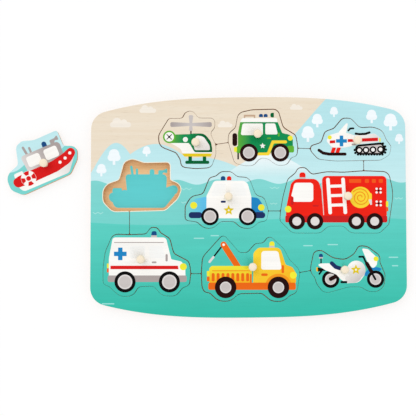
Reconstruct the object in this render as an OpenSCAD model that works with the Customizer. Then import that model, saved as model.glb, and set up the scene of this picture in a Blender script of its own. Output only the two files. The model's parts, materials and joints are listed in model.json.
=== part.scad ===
/* [Board] */
// Length of the board
board_l = 300; // [292:1:360]
// Width of the board at its middle
board_w = 210; // [206:1:260]
// How far the bowed long edges fall from the board's middle to its ends
bow_drop = 16.6; // [6:0.2:30]
// Shape of the bow: 2 is a parabola, more is flatter in the middle
bow_power = 2.8; // [2:0.1:4]
// Lean of the long edges against the board's length, in degrees
bow_lean = 0.5; // [-1:0.1:1]
// Radius of the board's four corners
corner_r = 17; // [4:1:30]
// Thickness of the backing under the cut-outs
backing_t = 3; // [2:0.5:8]
// Thickness of the sheet that the frame and the pieces are sawn from
sheet_t = 5; // [3:0.5:10]

/* [Saw cuts] */
// Width of the saw cut round every piece
saw_kerf = 0.5; // [0.4:0.1:1.6]
// Gap left on the side that a loose piece has slid to
least_gap = 0.15; // [0.1:0.05:0.3]
// Diameter of the hole where the blade was threaded in
pierce_d = 2; // [1.2:0.1:4]

/* [Pegs] */
// Height of a peg above its piece
peg_h = 12; // [10:0.5:24]
// Diameter of a peg's head
peg_head_d = 7.8; // [7:0.2:14]
// Height of the domed top of a peg's head
peg_dome_h = 2.6; // [1:0.2:4]
// Diameter of a peg's waist
peg_waist_d = 5.2; // [5:0.2:6.8]
// Height of a peg's waist above its piece
peg_waist_up = 4; // [3:0.5:5.5]
// Diameter of a peg's foot, where it stands on its piece
peg_foot_d = 6; // [5.8:0.2:12]
// Thickness of the straight band round a peg's foot
peg_foot_t = 0.6; // [0.4:0.2:2]
// Diameter of the tenon under a peg
tenon_d = 4.8; // [3:0.2:5.6]
// Play of the tenon in its hole, on the diameter
tenon_play = 0.1; // [0.05:0.05:0.4]
// Wood left under a peg's hole
hole_floor = 1.2; // [0.6:0.1:2]
// Glue gap below a tenon
glue_gap = 0.2; // [0.1:0.1:0.6]

/* [Boat taken out] */
// Distance of the boat's peg from the board's left edge
boat_aside = 44.3; // [42:0.1:120]
// How far the boat's peg lies above the board's middle line
boat_up = 41.2; // [-80:0.1:80]
// Turn of the boat as it lies beside the board
boat_turn = 23; // [-180:0.5:180]

/* [Hidden] */

// How far a chord may lie inside the arc that it stands for
arc_sag = 0.03;
$fn = 64;
// Points closer than this are one point
least_step = 0.001;
// Steps along each curved stretch of a peg's profile
profile_steps = 8;
// Steps along each bowed edge of the board
bow_steps = 40;
// Roundness of a peg's dome: 2 is an ellipse, more is flatter on top
dome_power = 2.8;

// Length of the tenon under a peg
tenon_l = sheet_t - hole_floor - glue_gap;
// Diameter of the hole for a tenon
peg_hole_d = tenon_d + tenon_play;

// Board that the saw lines below are drawn for: they stretch with one of another size
drawn_board = [300, 210];
function on_board(p) = [p.x * board_l / drawn_board.x, p.y * board_w / drawn_board.y];

// Places of the pegs on the drawn board, from its middle
helicopter_at = [-50.5, 60.5];
off_road_car_at = [8.8, 69];
snowmobile_at = [103, 62.8];
rescue_boat_at = [-98.3, 15.9];
police_car_at = [-19.4, 9.2];
fire_engine_at = [93.7, 9.9];
ambulance_at = [-101.5, -49.9];
tow_truck_at = [3.3, -57.4];
motorcycle_at = [90.2, -59.6];

// Which way each loose piece has slid in its cut-out: its move off the middle as a share of what the gap allows
helicopter_slid = [0.8, 0.6];
off_road_car_slid = [-0.4, -0.8];
snowmobile_slid = [0.8, -0.5];
police_car_slid = [0.8, -0.3];
fire_engine_slid = [-0.1, -0.8];
ambulance_slid = [-0.6, -0.7];
tow_truck_slid = [0.8, 0.4];
motorcycle_slid = [0.1, -0.8];

// Corners of each saw line from the middle of the drawn board: x, y and the radius that rounds the corner
helicopter_line = [
    [-53.5, 92.2, 6], [-60.4, 90.6, 6], [-63, 84.5, 3], [-76, 84.5, 3], [-86, 68, 9],
    [-84.9, 57.7, 8], [-69, 51.5, 4], [-65, 45, 6], [-64, 37.8, 6], [-50, 36.2, 40],
    [-35.5, 37.2, 6], [-31, 49.5, 12], [-31, 58.5, 8], [-36.5, 70.5, 4], [-32, 75.5, 4],
    [-32, 84.8, 4], [-47.5, 84.8, 4]
];
off_road_car_line = [
    [-9.5, 90, 7], [3.5, 93, 20], [28.5, 93.7, 6], [33.5, 76, 7], [45.5, 68.7, 5],
    [47.5, 57, 20], [46.5, 48.5, 4], [41.3, 47.3, 4], [36.9, 40, 6], [27.5, 39.5, 8],
    [18.8, 46, 8], [11.8, 47, 6], [4.8, 39.3, 6], [-3, 39.2, 20], [-13, 41.5, 6],
    [-19.3, 63, 10], [-18.5, 70.3, 7], [-12, 76, 5]
];
snowmobile_line = [
    [59.4, 58.4, 3], [69.5, 61.5, 5], [73, 72, 5], [81.5, 75, 5], [90, 85, 5],
    [98, 84.8, 6], [106.4, 75.7, 6], [119, 76.5, 14], [128, 73, 8], [132, 63.5, 10],
    [136.4, 57.8, 4], [134.5, 49.5, 5], [126, 44.5, 6], [83, 43.7, 40], [66.5, 45.5, 7],
    [59.2, 53.6, 5]
];
rescue_boat_line = [
    [-137.9, 5, 8], [-129, -4.1, 8], [-79.4, -2.9, 6], [-67.8, 7.9, 12], [-62.8, 19.8, 7],
    [-75, 25.2, 2.5], [-75.1, 41.9, 2.5], [-99.5, 41.4, 14], [-110.5, 45.2, 7], [-117.9, 42.5, 6],
    [-122.5, 25.2, 4], [-137.9, 19.8, 11]
];
police_car_line = [
    [-60.3, -12.8, 3], [-49, -14.4, 5], [-42.2, -20.5, 11], [-33.5, -20.6, 11], [-26.5, -14, 5],
    [-14, -14, 5], [-7, -20.2, 11], [3, -20.8, 10], [10, -14.4, 7], [17, -13.8, 4],
    [19.1, -4, 12], [15, 9, 6], [7, 11, 6], [0.6, 28, 7], [-10.5, 28.7, 5],
    [-16.5, 33.6, 6], [-26, 33.7, 6], [-31, 29.3, 5], [-37, 28, 5], [-43.3, 12.2, 5],
    [-54.5, 10, 9], [-60.3, 0.5, 8]
];
fire_engine_line = [
    [30.6, -4, 40], [32.8, 9, 40], [37.5, 26.5, 7], [45, 32.5, 5], [47.5, 37.5, 4],
    [54.5, 37.5, 4], [60.5, 31, 4], [75, 33.6, 20], [91, 33.1, 40], [110, 34.5, 60],
    [133.7, 33.6, 7], [138, 13, 40], [133.6, -16.6, 4], [124.6, -25, 6], [96.8, -24.9, 10],
    [90.5, -18.2, 7], [76, -18.4, 7], [68, -25, 9], [41.8, -24.9, 8], [29.8, -13.2, 4]
];
ambulance_line = [
    [-137.7, -73.5, 5], [-132, -75.5, 4], [-122, -84.8, 10], [-109.5, -84.8, 9], [-104, -75.7, 5],
    [-89.5, -75.2, 5], [-82.2, -84.2, 11], [-68.6, -84.8, 8], [-62.8, -77.2, 5], [-55.8, -74, 4],
    [-54.5, -62, 20], [-56.2, -51.8, 6], [-70.8, -44.3, 6], [-74.5, -30, 6], [-83, -24.8, 3],
    [-86.5, -19.7, 4], [-92.7, -19.3, 4], [-97, -25.8, 4], [-113, -26.4, 60], [-128.5, -25.8, 7],
    [-136, -43, 30], [-137.8, -58, 40]
];
tow_truck_line = [
    [-24, -26, 3.7], [-43.8, -48, 10], [-44.8, -62, 60], [-44.3, -76, 9], [-42, -81, 4],
    [-37, -81.8, 4], [-28.8, -89.4, 12], [-17.5, -89.8, 12], [-9.3, -82.5, 8], [12.6, -82.1, 6],
    [21.4, -89.6, 12], [32.4, -90, 12], [39.5, -84, 6], [45.5, -81.5, 5], [48.5, -64, 8],
    [47.5, -59, 6], [38.5, -50, 10], [33.5, -40, 8], [27, -34, 6], [21.8, -29, 4],
    [18.2, -29, 3], [13.8, -34.5, 4], [6.3, -35, 5], [-1.2, -43.5, 4], [-8.5, -43.8, 5]
];
motorcycle_line = [
    [58.7, -58, 20], [62, -42.4, 5], [69, -41, 6], [80, -48.4, 14], [91.5, -50.2, 10],
    [100.5, -44.5, 10], [104.5, -37, 4], [112.5, -37.2, 12], [125, -46.5, 6], [124.5, -52.5, 4],
    [129.5, -64, 10], [128.5, -75.5, 10], [122, -80.3, 8], [113.5, -80.3, 8], [106.5, -75.9, 10],
    [95, -75.8, 30], [76.4, -81.1, 9], [70.4, -80.8, 7], [64.5, -73, 10], [62.8, -67, 6],
    [59.5, -63, 6]
];

// Every saw line, for the cut-outs in the frame
saw_lines = [
    helicopter_line, off_road_car_line, snowmobile_line, rescue_boat_line, police_car_line,
    fire_engine_line, ambulance_line, tow_truck_line, motorcycle_line
];

// Straight saw cuts between neighbouring cut-outs: both ends of each
saw_links = [
    [[-31.5, 59.5], [-18.5, 61.5]],
    [[47, 56], [60, 55.5]],
    [[110, 45], [110, 33.5]],
    [[18.5, -4], [31, -4]],
    [[-113, -3.5], [-113, -27]],
    [[-55, -63.5], [-44, -63.5]],
    [[48, -62.5], [59, -60.5]]
];
// Where the blade was threaded in
pierce_at = [-31, 59.5];

// Points along an arc, as many as its sag allows
function arc(centre, r, from, sweep) =
    let (steps = max(1, ceil(abs(sweep) / (2 * acos(1 - min(arc_sag / r, 1))))))
    [for (i = [0 : steps]) centre + r * [cos(from + sweep * i / steps), sin(from + sweep * i / steps)]];

// Arc that rounds corner b between a and c, reaching no further than half of either edge
function rounded_corner(a, b, c, r) =
    let (
        to_a = (a - b) / norm(a - b),
        to_c = (c - b) / norm(c - b),
        half_angle = acos(to_a * to_c) / 2,
        reach = min(r / tan(half_angle), norm(a - b) / 2, norm(c - b) / 2),
        fitted_r = reach * tan(half_angle),
        centre = b + (to_a + to_c) / norm(to_a + to_c) * norm([reach, fitted_r]),
        start = b + to_a * reach - centre,
        side = cross(to_a, to_c) > 0 ? -1 : 1
    )
    arc(centre, fitted_r, atan2(start.y, start.x), side * (180 - 2 * half_angle));

// Closed outline through rounded corners, with no point twice
function outline(line) =
    let (
        n = len(line),
        flat = [for (p = line) on_board(p)],
        all = [for (i = [0 : n - 1])
            each rounded_corner(flat[(i + n - 1) % n], flat[i], flat[(i + 1) % n], line[i][2])
        ],
        count = len(all)
    )
    [for (i = [0 : count - 1]) if (norm(all[i] - all[(i + count - 1) % count]) > least_step) all[i]];

// Twice the area of a closed outline, positive where it runs anticlockwise
function turning(points) =
    let (n = len(points))
    [for (i = [0 : n - 1]) cross(points[i], points[(i + 1) % n])] * [for (i = [0 : n - 1]) 1];

// Outline moved outwards by a distance, or inwards by a negative one
function grown(points, by) =
    let (n = len(points), way = sign(turning(points)))
    [for (i = [0 : n - 1])
        let (
            before = points[i] - points[(i + n - 1) % n],
            after = points[(i + 1) % n] - points[i],
            along = before / norm(before) + after / norm(after)
        )
        points[i] + way * by * 2 / (along * along) * [along.y, -along.x]
    ];

// Height of the upper long edge above the board's middle line, and its slope there
function bow_y(x) = board_w / 2 - bow_drop * pow(2 * abs(x) / board_l, bow_power) + x * tan(bow_lean);
function bow_slope(x) =
    tan(bow_lean) - sign(x) * bow_drop * bow_power * pow(2 * abs(x) / board_l, bow_power - 1) * 2 / board_l;
function bow_normal(x) = atan2(1, -bow_slope(x));

// Where a corner's arc meets the upper long edge, found from a first guess: side is 1 on the right, -1 on the left
corner_x = board_l / 2 - corner_r;
function bow_end(side, x, rounds = 8) =
    rounds == 0 ? x
    : bow_end(side, side * corner_x + corner_r * cos(bow_normal(x)), rounds - 1);
function corner_centre(side, x) = [side * corner_x, bow_y(x) - corner_r * sin(bow_normal(x))];

// Outline of the board: bowed long edges, straight ends and rounded corners
right_end = bow_end(1, corner_x);
left_end = bow_end(-1, -corner_x);
upper_edge = concat(
    arc(corner_centre(1, right_end), corner_r, 0, bow_normal(right_end)),
    [for (i = [1 : bow_steps - 1])
        let (x = right_end + (left_end - right_end) * i / bow_steps)
        [x, bow_y(x)]
    ],
    arc(corner_centre(-1, left_end), corner_r, bow_normal(left_end), 180 - bow_normal(left_end))
);
board_edge = concat(upper_edge, -1 * upper_edge);

// Smooth change of radius from one height to another, as half a cosine wave
function swell(r_from, z_from, r_to, z_to) =
    [for (i = [0 : profile_steps])
        let (t = i / profile_steps)
        [r_from + (r_to - r_from) * (1 - cos(180 * t)) / 2, z_from + (z_to - z_from) * t]
    ];

// Domed top of a peg: a quarter of a superellipse
function dome(r, z_from, h) =
    [for (i = [1 : profile_steps])
        let (t = 90 * i / profile_steps)
        [r * pow(max(cos(t), 0), 2 / dome_power), z_from + h * pow(sin(t), 2 / dome_power)]
    ];

// Half section of a peg, from the end of its tenon to its crown
peg_neck_h = peg_h - peg_dome_h;
peg_profile = concat(
    [[0, -tenon_l], [tenon_d / 2, -tenon_l], [tenon_d / 2, 0], [peg_foot_d / 2, 0]],
    swell(peg_foot_d / 2, peg_foot_t, peg_waist_d / 2, peg_waist_up),
    [for (p = swell(peg_waist_d / 2, peg_waist_up, peg_head_d / 2, peg_neck_h)) if (p.y > peg_waist_up) p],
    dome(peg_head_d / 2, peg_neck_h, peg_dome_h)
);

// One straight saw cut between two cut-outs
module saw_link(ends) {
    from = on_board(ends[0]);
    run = on_board(ends[1]) - from;
    translate(from) rotate(atan2(run.y, run.x))
        translate([0, -saw_kerf / 2]) square([norm(run), saw_kerf]);
}

// One piece as sawn from the sheet, standing on z = 0, with the blind hole for its peg
module sawn_piece(line, at) {
    difference() {
        linear_extrude(sheet_t) polygon(grown(outline(line), -saw_kerf / 2));
        translate([0, 0, hole_floor]) translate(on_board(at)) cylinder(d = peg_hole_d, h = sheet_t);
    }
}

// One turned peg, standing on z = 0 with its tenon below
module turned_peg() {
    color("blanchedalmond") rotate_extrude() polygon(peg_profile);
}

// Puts a piece into its cut-out, on the backing, where it has slid to
module in_recess(slid) {
    translate([0, 0, backing_t]) translate((saw_kerf - least_gap) * slid) children();
}

// Stands a peg on a piece that lies in its cut-out
module on_piece(at, slid) {
    in_recess(slid) translate([0, 0, sheet_t]) translate(on_board(at)) turned_peg();
}

// Lays what belongs to the boat beside the board, turned about its peg
module beside_board() {
    translate([-board_l / 2 - boat_aside, boat_up, 0]) rotate(boat_turn) children();
}

module backing_board() {
    color("burlywood") linear_extrude(backing_t) polygon(board_edge);
}

module frame_board() {
    color("mediumturquoise") translate([0, 0, backing_t]) linear_extrude(sheet_t) difference() {
        polygon(board_edge);
        for (line = saw_lines) {
            polygon(grown(outline(line), saw_kerf / 2));
        }
        for (ends = saw_links) {
            saw_link(ends);
        }
        translate(on_board(pierce_at)) circle(d = pierce_d);
    }
}

module helicopter() {
    color("seagreen") in_recess(helicopter_slid) sawn_piece(helicopter_line, helicopter_at);
}

module off_road_car() {
    color("forestgreen") in_recess(off_road_car_slid) sawn_piece(off_road_car_line, off_road_car_at);
}

module snowmobile() {
    color("whitesmoke") in_recess(snowmobile_slid) sawn_piece(snowmobile_line, snowmobile_at);
}

module rescue_boat() {
    color("tomato") beside_board() translate(-on_board(rescue_boat_at))
        sawn_piece(rescue_boat_line, rescue_boat_at);
}

module police_car() {
    color("cornflowerblue") in_recess(police_car_slid) sawn_piece(police_car_line, police_car_at);
}

module fire_engine() {
    color("crimson") in_recess(fire_engine_slid) sawn_piece(fire_engine_line, fire_engine_at);
}

module ambulance() {
    color("white") in_recess(ambulance_slid) sawn_piece(ambulance_line, ambulance_at);
}

module tow_truck() {
    color("gold") in_recess(tow_truck_slid) sawn_piece(tow_truck_line, tow_truck_at);
}

module motorcycle() {
    color("steelblue") in_recess(motorcycle_slid) sawn_piece(motorcycle_line, motorcycle_at);
}

module helicopter_peg() {
    on_piece(helicopter_at, helicopter_slid);
}

module off_road_car_peg() {
    on_piece(off_road_car_at, off_road_car_slid);
}

module snowmobile_peg() {
    on_piece(snowmobile_at, snowmobile_slid);
}

module rescue_boat_peg() {
    beside_board() translate([0, 0, sheet_t]) turned_peg();
}

module police_car_peg() {
    on_piece(police_car_at, police_car_slid);
}

module fire_engine_peg() {
    on_piece(fire_engine_at, fire_engine_slid);
}

module ambulance_peg() {
    on_piece(ambulance_at, ambulance_slid);
}

module tow_truck_peg() {
    on_piece(tow_truck_at, tow_truck_slid);
}

module motorcycle_peg() {
    on_piece(motorcycle_at, motorcycle_slid);
}

backing_board();
frame_board();
helicopter();
off_road_car();
snowmobile();
rescue_boat();
police_car();
fire_engine();
ambulance();
tow_truck();
motorcycle();
helicopter_peg();
off_road_car_peg();
snowmobile_peg();
rescue_boat_peg();
police_car_peg();
fire_engine_peg();
ambulance_peg();
tow_truck_peg();
motorcycle_peg();
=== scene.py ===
"""Looks of a wooden peg puzzle: a printed plywood board with nine sawn vehicles, each with a turned peg."""

import json
import math
from itertools import chain

import bmesh
import bpy
import numpy as np
from bpy.props import FloatProperty, FloatVectorProperty, PointerProperty
from mathutils import Matrix, Vector
from mathutils.geometry import delaunay_2d_cdt

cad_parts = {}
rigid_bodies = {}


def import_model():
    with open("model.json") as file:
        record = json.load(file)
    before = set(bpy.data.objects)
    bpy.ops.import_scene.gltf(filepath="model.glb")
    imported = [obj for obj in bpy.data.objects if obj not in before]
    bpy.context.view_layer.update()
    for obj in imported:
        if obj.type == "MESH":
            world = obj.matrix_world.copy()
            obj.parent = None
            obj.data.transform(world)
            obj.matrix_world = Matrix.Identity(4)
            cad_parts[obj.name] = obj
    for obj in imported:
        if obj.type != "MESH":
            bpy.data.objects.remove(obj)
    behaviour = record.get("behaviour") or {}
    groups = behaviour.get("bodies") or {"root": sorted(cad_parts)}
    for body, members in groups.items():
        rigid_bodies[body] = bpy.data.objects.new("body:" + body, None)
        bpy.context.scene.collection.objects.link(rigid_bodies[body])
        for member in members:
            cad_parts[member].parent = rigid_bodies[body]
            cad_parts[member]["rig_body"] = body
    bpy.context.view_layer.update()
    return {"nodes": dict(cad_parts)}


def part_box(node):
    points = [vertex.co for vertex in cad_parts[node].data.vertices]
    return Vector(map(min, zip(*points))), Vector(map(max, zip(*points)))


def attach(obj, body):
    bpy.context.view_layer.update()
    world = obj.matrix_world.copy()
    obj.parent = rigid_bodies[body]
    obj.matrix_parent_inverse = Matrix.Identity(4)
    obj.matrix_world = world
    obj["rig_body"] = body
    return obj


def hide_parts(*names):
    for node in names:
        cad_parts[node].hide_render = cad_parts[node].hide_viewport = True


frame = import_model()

bl_info = {
    "name": "Peg puzzle",
    "version": (1, 0, 0),
    "blender": (4, 5, 0),
    "location": "View3D > Sidebar > Peg Puzzle",
    "description": "Builds the board, the printed pieces and the turned pegs of a wooden peg puzzle",
    "category": "Object",
}

MM = 0.001
VEHICLES = (
    "helicopter", "off_road_car", "snowmobile", "rescue_boat", "police_car",
    "fire_engine", "ambulance", "tow_truck", "motorcycle",
)


# Settings

def linear(rgb):
    """Scene colour of an 8-bit screen colour: the screen's curve undone, channel by channel."""
    c = np.asarray(rgb, float) / 255
    return tuple(np.where(c <= 0.04045, c / 12.92, ((c + 0.055) / 1.055) ** 2.4).tolist())


def colour(name, description, rgb):
    """A colour setting whose default is given as an 8-bit screen colour."""
    return FloatVectorProperty(
        name=name, description=description, default=linear(rgb), size=3, min=0, max=1, subtype="COLOR"
    )


def length(name, description, millimetres, low=0.0, high=0.5):
    """A length setting whose default is given in millimetres."""
    return FloatProperty(
        name=name, description=description, default=millimetres * MM, min=low, max=high,
        unit="LENGTH", precision=5,
    )


def arc(name, description, degrees):
    """An angle setting whose default is given in degrees."""
    return FloatProperty(name=name, description=description, default=math.radians(degrees), subtype="ANGLE")


def amount(name, description, default, low, high, **kind):
    """A number between two limits, with a unit or subtype where one fits."""
    return FloatProperty(name=name, description=description, default=default, min=low, max=high, **kind)


class PuzzleInks(bpy.types.PropertyGroup):
    """Colours of the inks that the sheet is printed with."""

    white: colour("White", "White panels and windows", (249, 247, 243))
    glass: colour("Glass", "Pale tint of side windows", (244, 244, 242))
    pale_grey: colour("Pale grey", "Light metal and shading", (222, 217, 215))
    grey: colour("Grey", "Metal, cabins and skirts", (170, 160, 158))
    black: colour("Black", "Cables, seats and tyres", (8, 6, 7))
    tyre: colour("Tyre", "Brown black of tyres", (36, 11, 10))
    hub: colour("Hub", "Wheel hubs", (200, 193, 191))
    red: colour("Red", "Fire engine and boat", (236, 34, 20))
    crimson: colour("Crimson", "Stripes and the rail of the boat", (216, 26, 26))
    dark_red: colour("Dark red", "Shaded red", (200, 32, 32))
    ember: colour("Ember", "Markers and tail lamps", (240, 88, 28))
    dark_green: colour("Dark green", "Deep end of the green", (0, 96, 50))
    green: colour("Green", "Middle green", (16, 140, 80))
    light_green: colour("Light green", "Fresh end of the green", (96, 176, 52))
    yellow: colour("Yellow", "Trim, hose and tow truck", (248, 214, 56))
    mustard: colour("Mustard", "Stripe of the helicopter and stars", (226, 200, 36))
    lemon: colour("Lemon", "Lamps", (238, 232, 56))
    amber: colour("Amber", "Shaded yellow", (242, 180, 34))
    tangerine: colour("Tangerine", "Wheel arch of the tow truck", (238, 148, 30))
    orange: colour("Orange", "Boom and bumper of the tow truck", (234, 104, 22))
    blue: colour("Blue", "Bright blue", (32, 132, 194))
    deep_blue: colour("Deep blue", "Roof lamps", (24, 74, 128))
    sky_blue: colour("Sky blue", "Light end of the blue", (96, 190, 230))
    surf: colour("Surf", "Pale end of the police car's wing", (118, 208, 214))
    navy: colour("Navy", "Dark blue", (30, 46, 96))
    tan: colour("Tan", "Rack on a roof", (196, 166, 140))
    frost: colour("Frost", "Trees of the landscape", (240, 247, 251))
    spray: colour("Spray", "Pale strokes on water and road", (158, 224, 218))
    cloud: colour("Cloud", "Clouds on the bare sky", (242, 234, 222))
    recess: colour("Recess", "Figures on the floors of the cut-outs", (96, 204, 206))


class PuzzleLandscape(bpy.types.PropertyGroup):
    """Colours of the printed landscape."""

    hill: colour("Hill", "Far hills", (181, 226, 232))
    slope: colour("Slope", "Foot of the hills", (196, 234, 238))
    snow: colour("Snow", "Snow field", (246, 249, 251))
    sea: colour("Sea", "Water", (128, 211, 207))
    ground: colour("Ground", "Near ground at its upper edge", (92, 206, 194))
    deep: colour("Deep ground", "Near ground at the lower edge", (52, 188, 168))


class PuzzleWood(bpy.types.PropertyGroup):
    """Colours of the bare wood."""

    sky: colour("Sky wood", "Bare wood that is the sky of the print", (234, 222, 203))
    sky_grain: colour("Sky grain", "Grain in the sky", (229, 213, 190))
    rim: colour("Rim", "Sanded edges", (252, 243, 226))
    rim_grain: colour("Rim grain", "Grain in the sanded edges", (244, 226, 196))
    floor: colour("Recess floor", "Top of the backing", (234, 194, 144))
    floor_grain: colour("Recess floor grain", "Grain in the backing", (216, 168, 114))
    ply: colour("Ply", "Face plies on a sawn edge", (236, 184, 122))
    core: colour("Ply core", "Cross plies on a sawn edge", (208, 144, 84))
    peg: colour("Peg", "Turned pegs", (246, 234, 212))
    peg_grain: colour("Peg grain", "Grain in the pegs", (238, 218, 186))


class PuzzleSizes(bpy.types.PropertyGroup):
    """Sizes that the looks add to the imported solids."""

    rim_r: length("Rim radius", "Radius of the sanded edge round every sawn line", 0.2)
    open_r: length("Open rim radius", "Radius of the bare rim round the open cut-out", 0.65)
    back_r: length("Back radius", "Radius round the lower edges", 0.35)
    foot_r: length("Foot radius", "Radius round the board's lower edge", 0.8)
    seam_r: length("Seam radius", "Radius on both sides of the glued seam", 0.18)
    step: length("Step", "Distance between the points of an outline", 0.5)
    soften: length("Soften", "Width over which the outlines' chords are smoothed", 0.8)
    ply_t: length("Ply", "Thickness of one ply of the sheet", 1.0)
    tenon_d: length("Tenon", "Diameter of a peg's tenon", 4.8)
    peg_foot_d: length("Peg foot", "Diameter of a peg's foot", 6)
    peg_foot_t: length("Peg foot band", "Height of the band round a peg's foot", 0.6)
    peg_waist_d: length("Peg waist", "Diameter of a peg's waist", 5.2)
    peg_waist_up: length("Waist height", "Height of a peg's waist above its piece", 4)
    peg_dome_h: length("Peg dome", "Height of a peg's domed top", 2.6)
    boat_home: FloatVectorProperty(
        name="Boat home", description="Place of the boat's peg when the boat is in its cut-out",
        default=(-0.0983, 0.0159), size=2, unit="LENGTH", precision=5,
    )
    boat_turn: arc("Boat turn", "Turn of the boat as it lies beside the board", 23)


class PuzzleStage(bpy.types.PropertyGroup):
    """Camera and light."""

    target: FloatVectorProperty(
        name="Target", description="Point that the camera looks at",
        default=(-0.0384, -0.0012, 0.008), size=3, subtype="TRANSLATION", unit="LENGTH", precision=5,
    )
    distance: length("Distance", "Distance of the camera from its target", 1000, 0.1, 10)
    tilt: arc("Tilt", "Lean of the view from straight down", 3.3)
    lens: amount("Lens", "Focal length on a 36 mm sensor", 91, 10, 300, unit="CAMERA")
    ambient: amount("Ambient", "Strength of the surrounding white", 0.9, 0, 2)
    key: amount("Key", "Strength of the soft light at the upper left", 0.6, 0, 20)
    key_from: FloatVectorProperty(
        name="Key direction", description="Direction that the light comes from",
        default=(-0.6, 0.6, 1.0), size=3, subtype="DIRECTION",
    )
    key_spread: arc("Key spread", "Angle that the light fills, which softens its shadows", 60)
    floor: colour("Floor", "Pale floor", (252, 252, 252))
    floor_size: length("Floor size", "Side of the square floor", 6000, 0.5, 20)
    floor_pale: amount(
        "Floor pale", "Share of plain white in the floor as the camera sees it", 0.72, 0, 0.9,
        subtype="FACTOR",
    )


class PuzzleSettings(bpy.types.PropertyGroup):
    """Everything that the operators read."""

    inks: PointerProperty(type=PuzzleInks)
    landscape: PointerProperty(type=PuzzleLandscape)
    wood: PointerProperty(type=PuzzleWood)
    sizes: PointerProperty(type=PuzzleSizes)
    stage: PointerProperty(type=PuzzleStage)


# Flat shapes, in millimetres on the board

# Points of a corner, of a band and of one turn of a coil
CORNER_STEPS = 8
BAND_STEPS = 24
COIL_STEPS = 28
# Largest sag of a circle's chords, and shortest edge of an outline
CHORD_SAG = 0.012
LEAST_EDGE = 0.004
# Cosine past which two edges count as one straight line
STRAIGHT = 0.99999
# Corner radius of small figures and of stars, and the share of a star's reach that its waist has
FIGURE_R = 0.3
STAR_R = 0.25
STAR_WAIST = 0.45


def rounded(*corners):
    """Closed outline through corners (x, y, radius): each corner is the arc that touches both of its edges,
    no longer than half of either edge."""
    data = np.asarray(corners, float)
    here, radius = data[:, :2], data[:, 2]
    to_last = np.roll(here, 1, 0) - here
    to_next = np.roll(here, -1, 0) - here
    last_l = np.linalg.norm(to_last, axis=1)
    next_l = np.linalg.norm(to_next, axis=1)
    to_last /= last_l[:, None]
    to_next /= next_l[:, None]
    half = np.arccos(np.clip((to_last * to_next).sum(1), -STRAIGHT, STRAIGHT)) / 2
    reach = np.minimum(radius / np.tan(half), np.minimum(last_l, next_l) / 2)
    fitted = reach * np.tan(half)
    middle = to_last + to_next
    middle /= np.linalg.norm(middle, axis=1, keepdims=True)
    centre = here + middle * np.hypot(reach, fitted)[:, None]
    start = here + to_last * reach[:, None] - centre
    side = np.where(to_last[:, 0] * to_next[:, 1] > to_last[:, 1] * to_next[:, 0], -1, 1)
    sweep = side * (np.pi - 2 * half)
    angle = np.arctan2(start[:, 1], start[:, 0])[:, None] + sweep[:, None] * np.linspace(0, 1, CORNER_STEPS)
    points = centre[:, None] + fitted[:, None, None] * np.stack([np.cos(angle), np.sin(angle)], 2)
    return apart(points.reshape(-1, 2))


def apart(points):
    """The closed outline without points that lie on the one before them."""
    return points[np.linalg.norm(points - np.roll(points, 1, 0), axis=1) > LEAST_EDGE]


def box(x0, y0, x1, y1, r=0.4):
    """Rectangle with rounded corners."""
    return rounded((x0, y0, r), (x1, y0, r), (x1, y1, r), (x0, y1, r))


def disc(x, y, r):
    """Circle, with as many points as its chords' sag allows."""
    count = int(math.ceil(math.pi / math.acos(1 - CHORD_SAG / r)))
    angle = 2 * np.pi * np.arange(count) / count
    return np.stack([x + r * np.cos(angle), y + r * np.sin(angle)], 1)


def bend(points, width, r=1.5):
    """Stroke of one width along a bent line: the line moved to both sides, its bends mitred and rounded."""
    line = np.asarray(points, float)
    run = np.diff(line, axis=0)
    run /= np.linalg.norm(run, axis=1, keepdims=True)
    before = np.concatenate([run[:1], run])
    after = np.concatenate([run, run[-1:]])
    along = before + after
    along *= 2 / (along * along).sum(1, keepdims=True)
    side = np.stack([along[:, 1], -along[:, 0]], 1) * width / 2
    radius = np.full(len(line), float(r))
    radius[[0, -1]] = width / 2
    right = np.column_stack([line + side, radius])
    left = np.column_stack([line - side, radius])
    return rounded(*right, *left[::-1])


def bar(x0, y0, x1, y1, width):
    """Straight stroke with round ends."""
    return bend([(x0, y0), (x1, y1)], width)


def dome(x, y, width, height):
    """Lamp with a flat foot and a round top."""
    half = width / 2
    foot = [(x - half, y, FIGURE_R), (x + half, y, FIGURE_R)]
    return rounded(*foot, (x + half, y + height, half), (x - half, y + height, half))


def band(x, y, r, width, start, end):
    """Stretch of a ring between two angles in degrees."""
    angle = np.radians(np.linspace(start, end, BAND_STEPS))
    ray = np.stack([np.cos(angle), np.sin(angle)], 1)
    return np.concatenate([(r + width / 2) * ray, (r - width / 2) * ray[::-1]]) + (x, y)


def plus(x, y, reach, width):
    """Upright cross with four equal arms."""
    a, b = reach, width / 2
    corners = [
        (a, -b), (a, b), (b, b), (b, a), (-b, a), (-b, b),
        (-a, b), (-a, -b), (-b, -b), (-b, -a), (b, -a), (b, -b),
    ]
    return rounded(*[(x + u, y + v, FIGURE_R) for u, v in corners])


def star(x, y, r):
    """Plain star with five tips: its reach is full at the tips and less at the waist between them."""
    angle = np.radians(90 + 36 * np.arange(10))
    reach = np.where(np.arange(10) % 2, STAR_WAIST * r, r)
    corners = [x + reach * np.cos(angle), y + reach * np.sin(angle), np.full(10, STAR_R)]
    return rounded(*np.column_stack(corners))


def coil(x, y, r_from, r_to, turns, width):
    """Spiral stroke: its middle runs outwards at a steady rate as it turns."""
    turn = np.linspace(0, 2 * np.pi * turns, int(COIL_STEPS * turns))
    reach = np.linspace(r_from, r_to, len(turn))[:, None]
    ray = np.stack([np.cos(turn), np.sin(turn)], 1)
    return np.concatenate([(reach + width / 2) * ray, ((reach - width / 2) * ray)[::-1]]) + (x, y)


# Prints: lists of (ink, shape), later shapes over earlier ones

# Share of a hub's radius that its cap has
CAP_SHARE = 0.82


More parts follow.
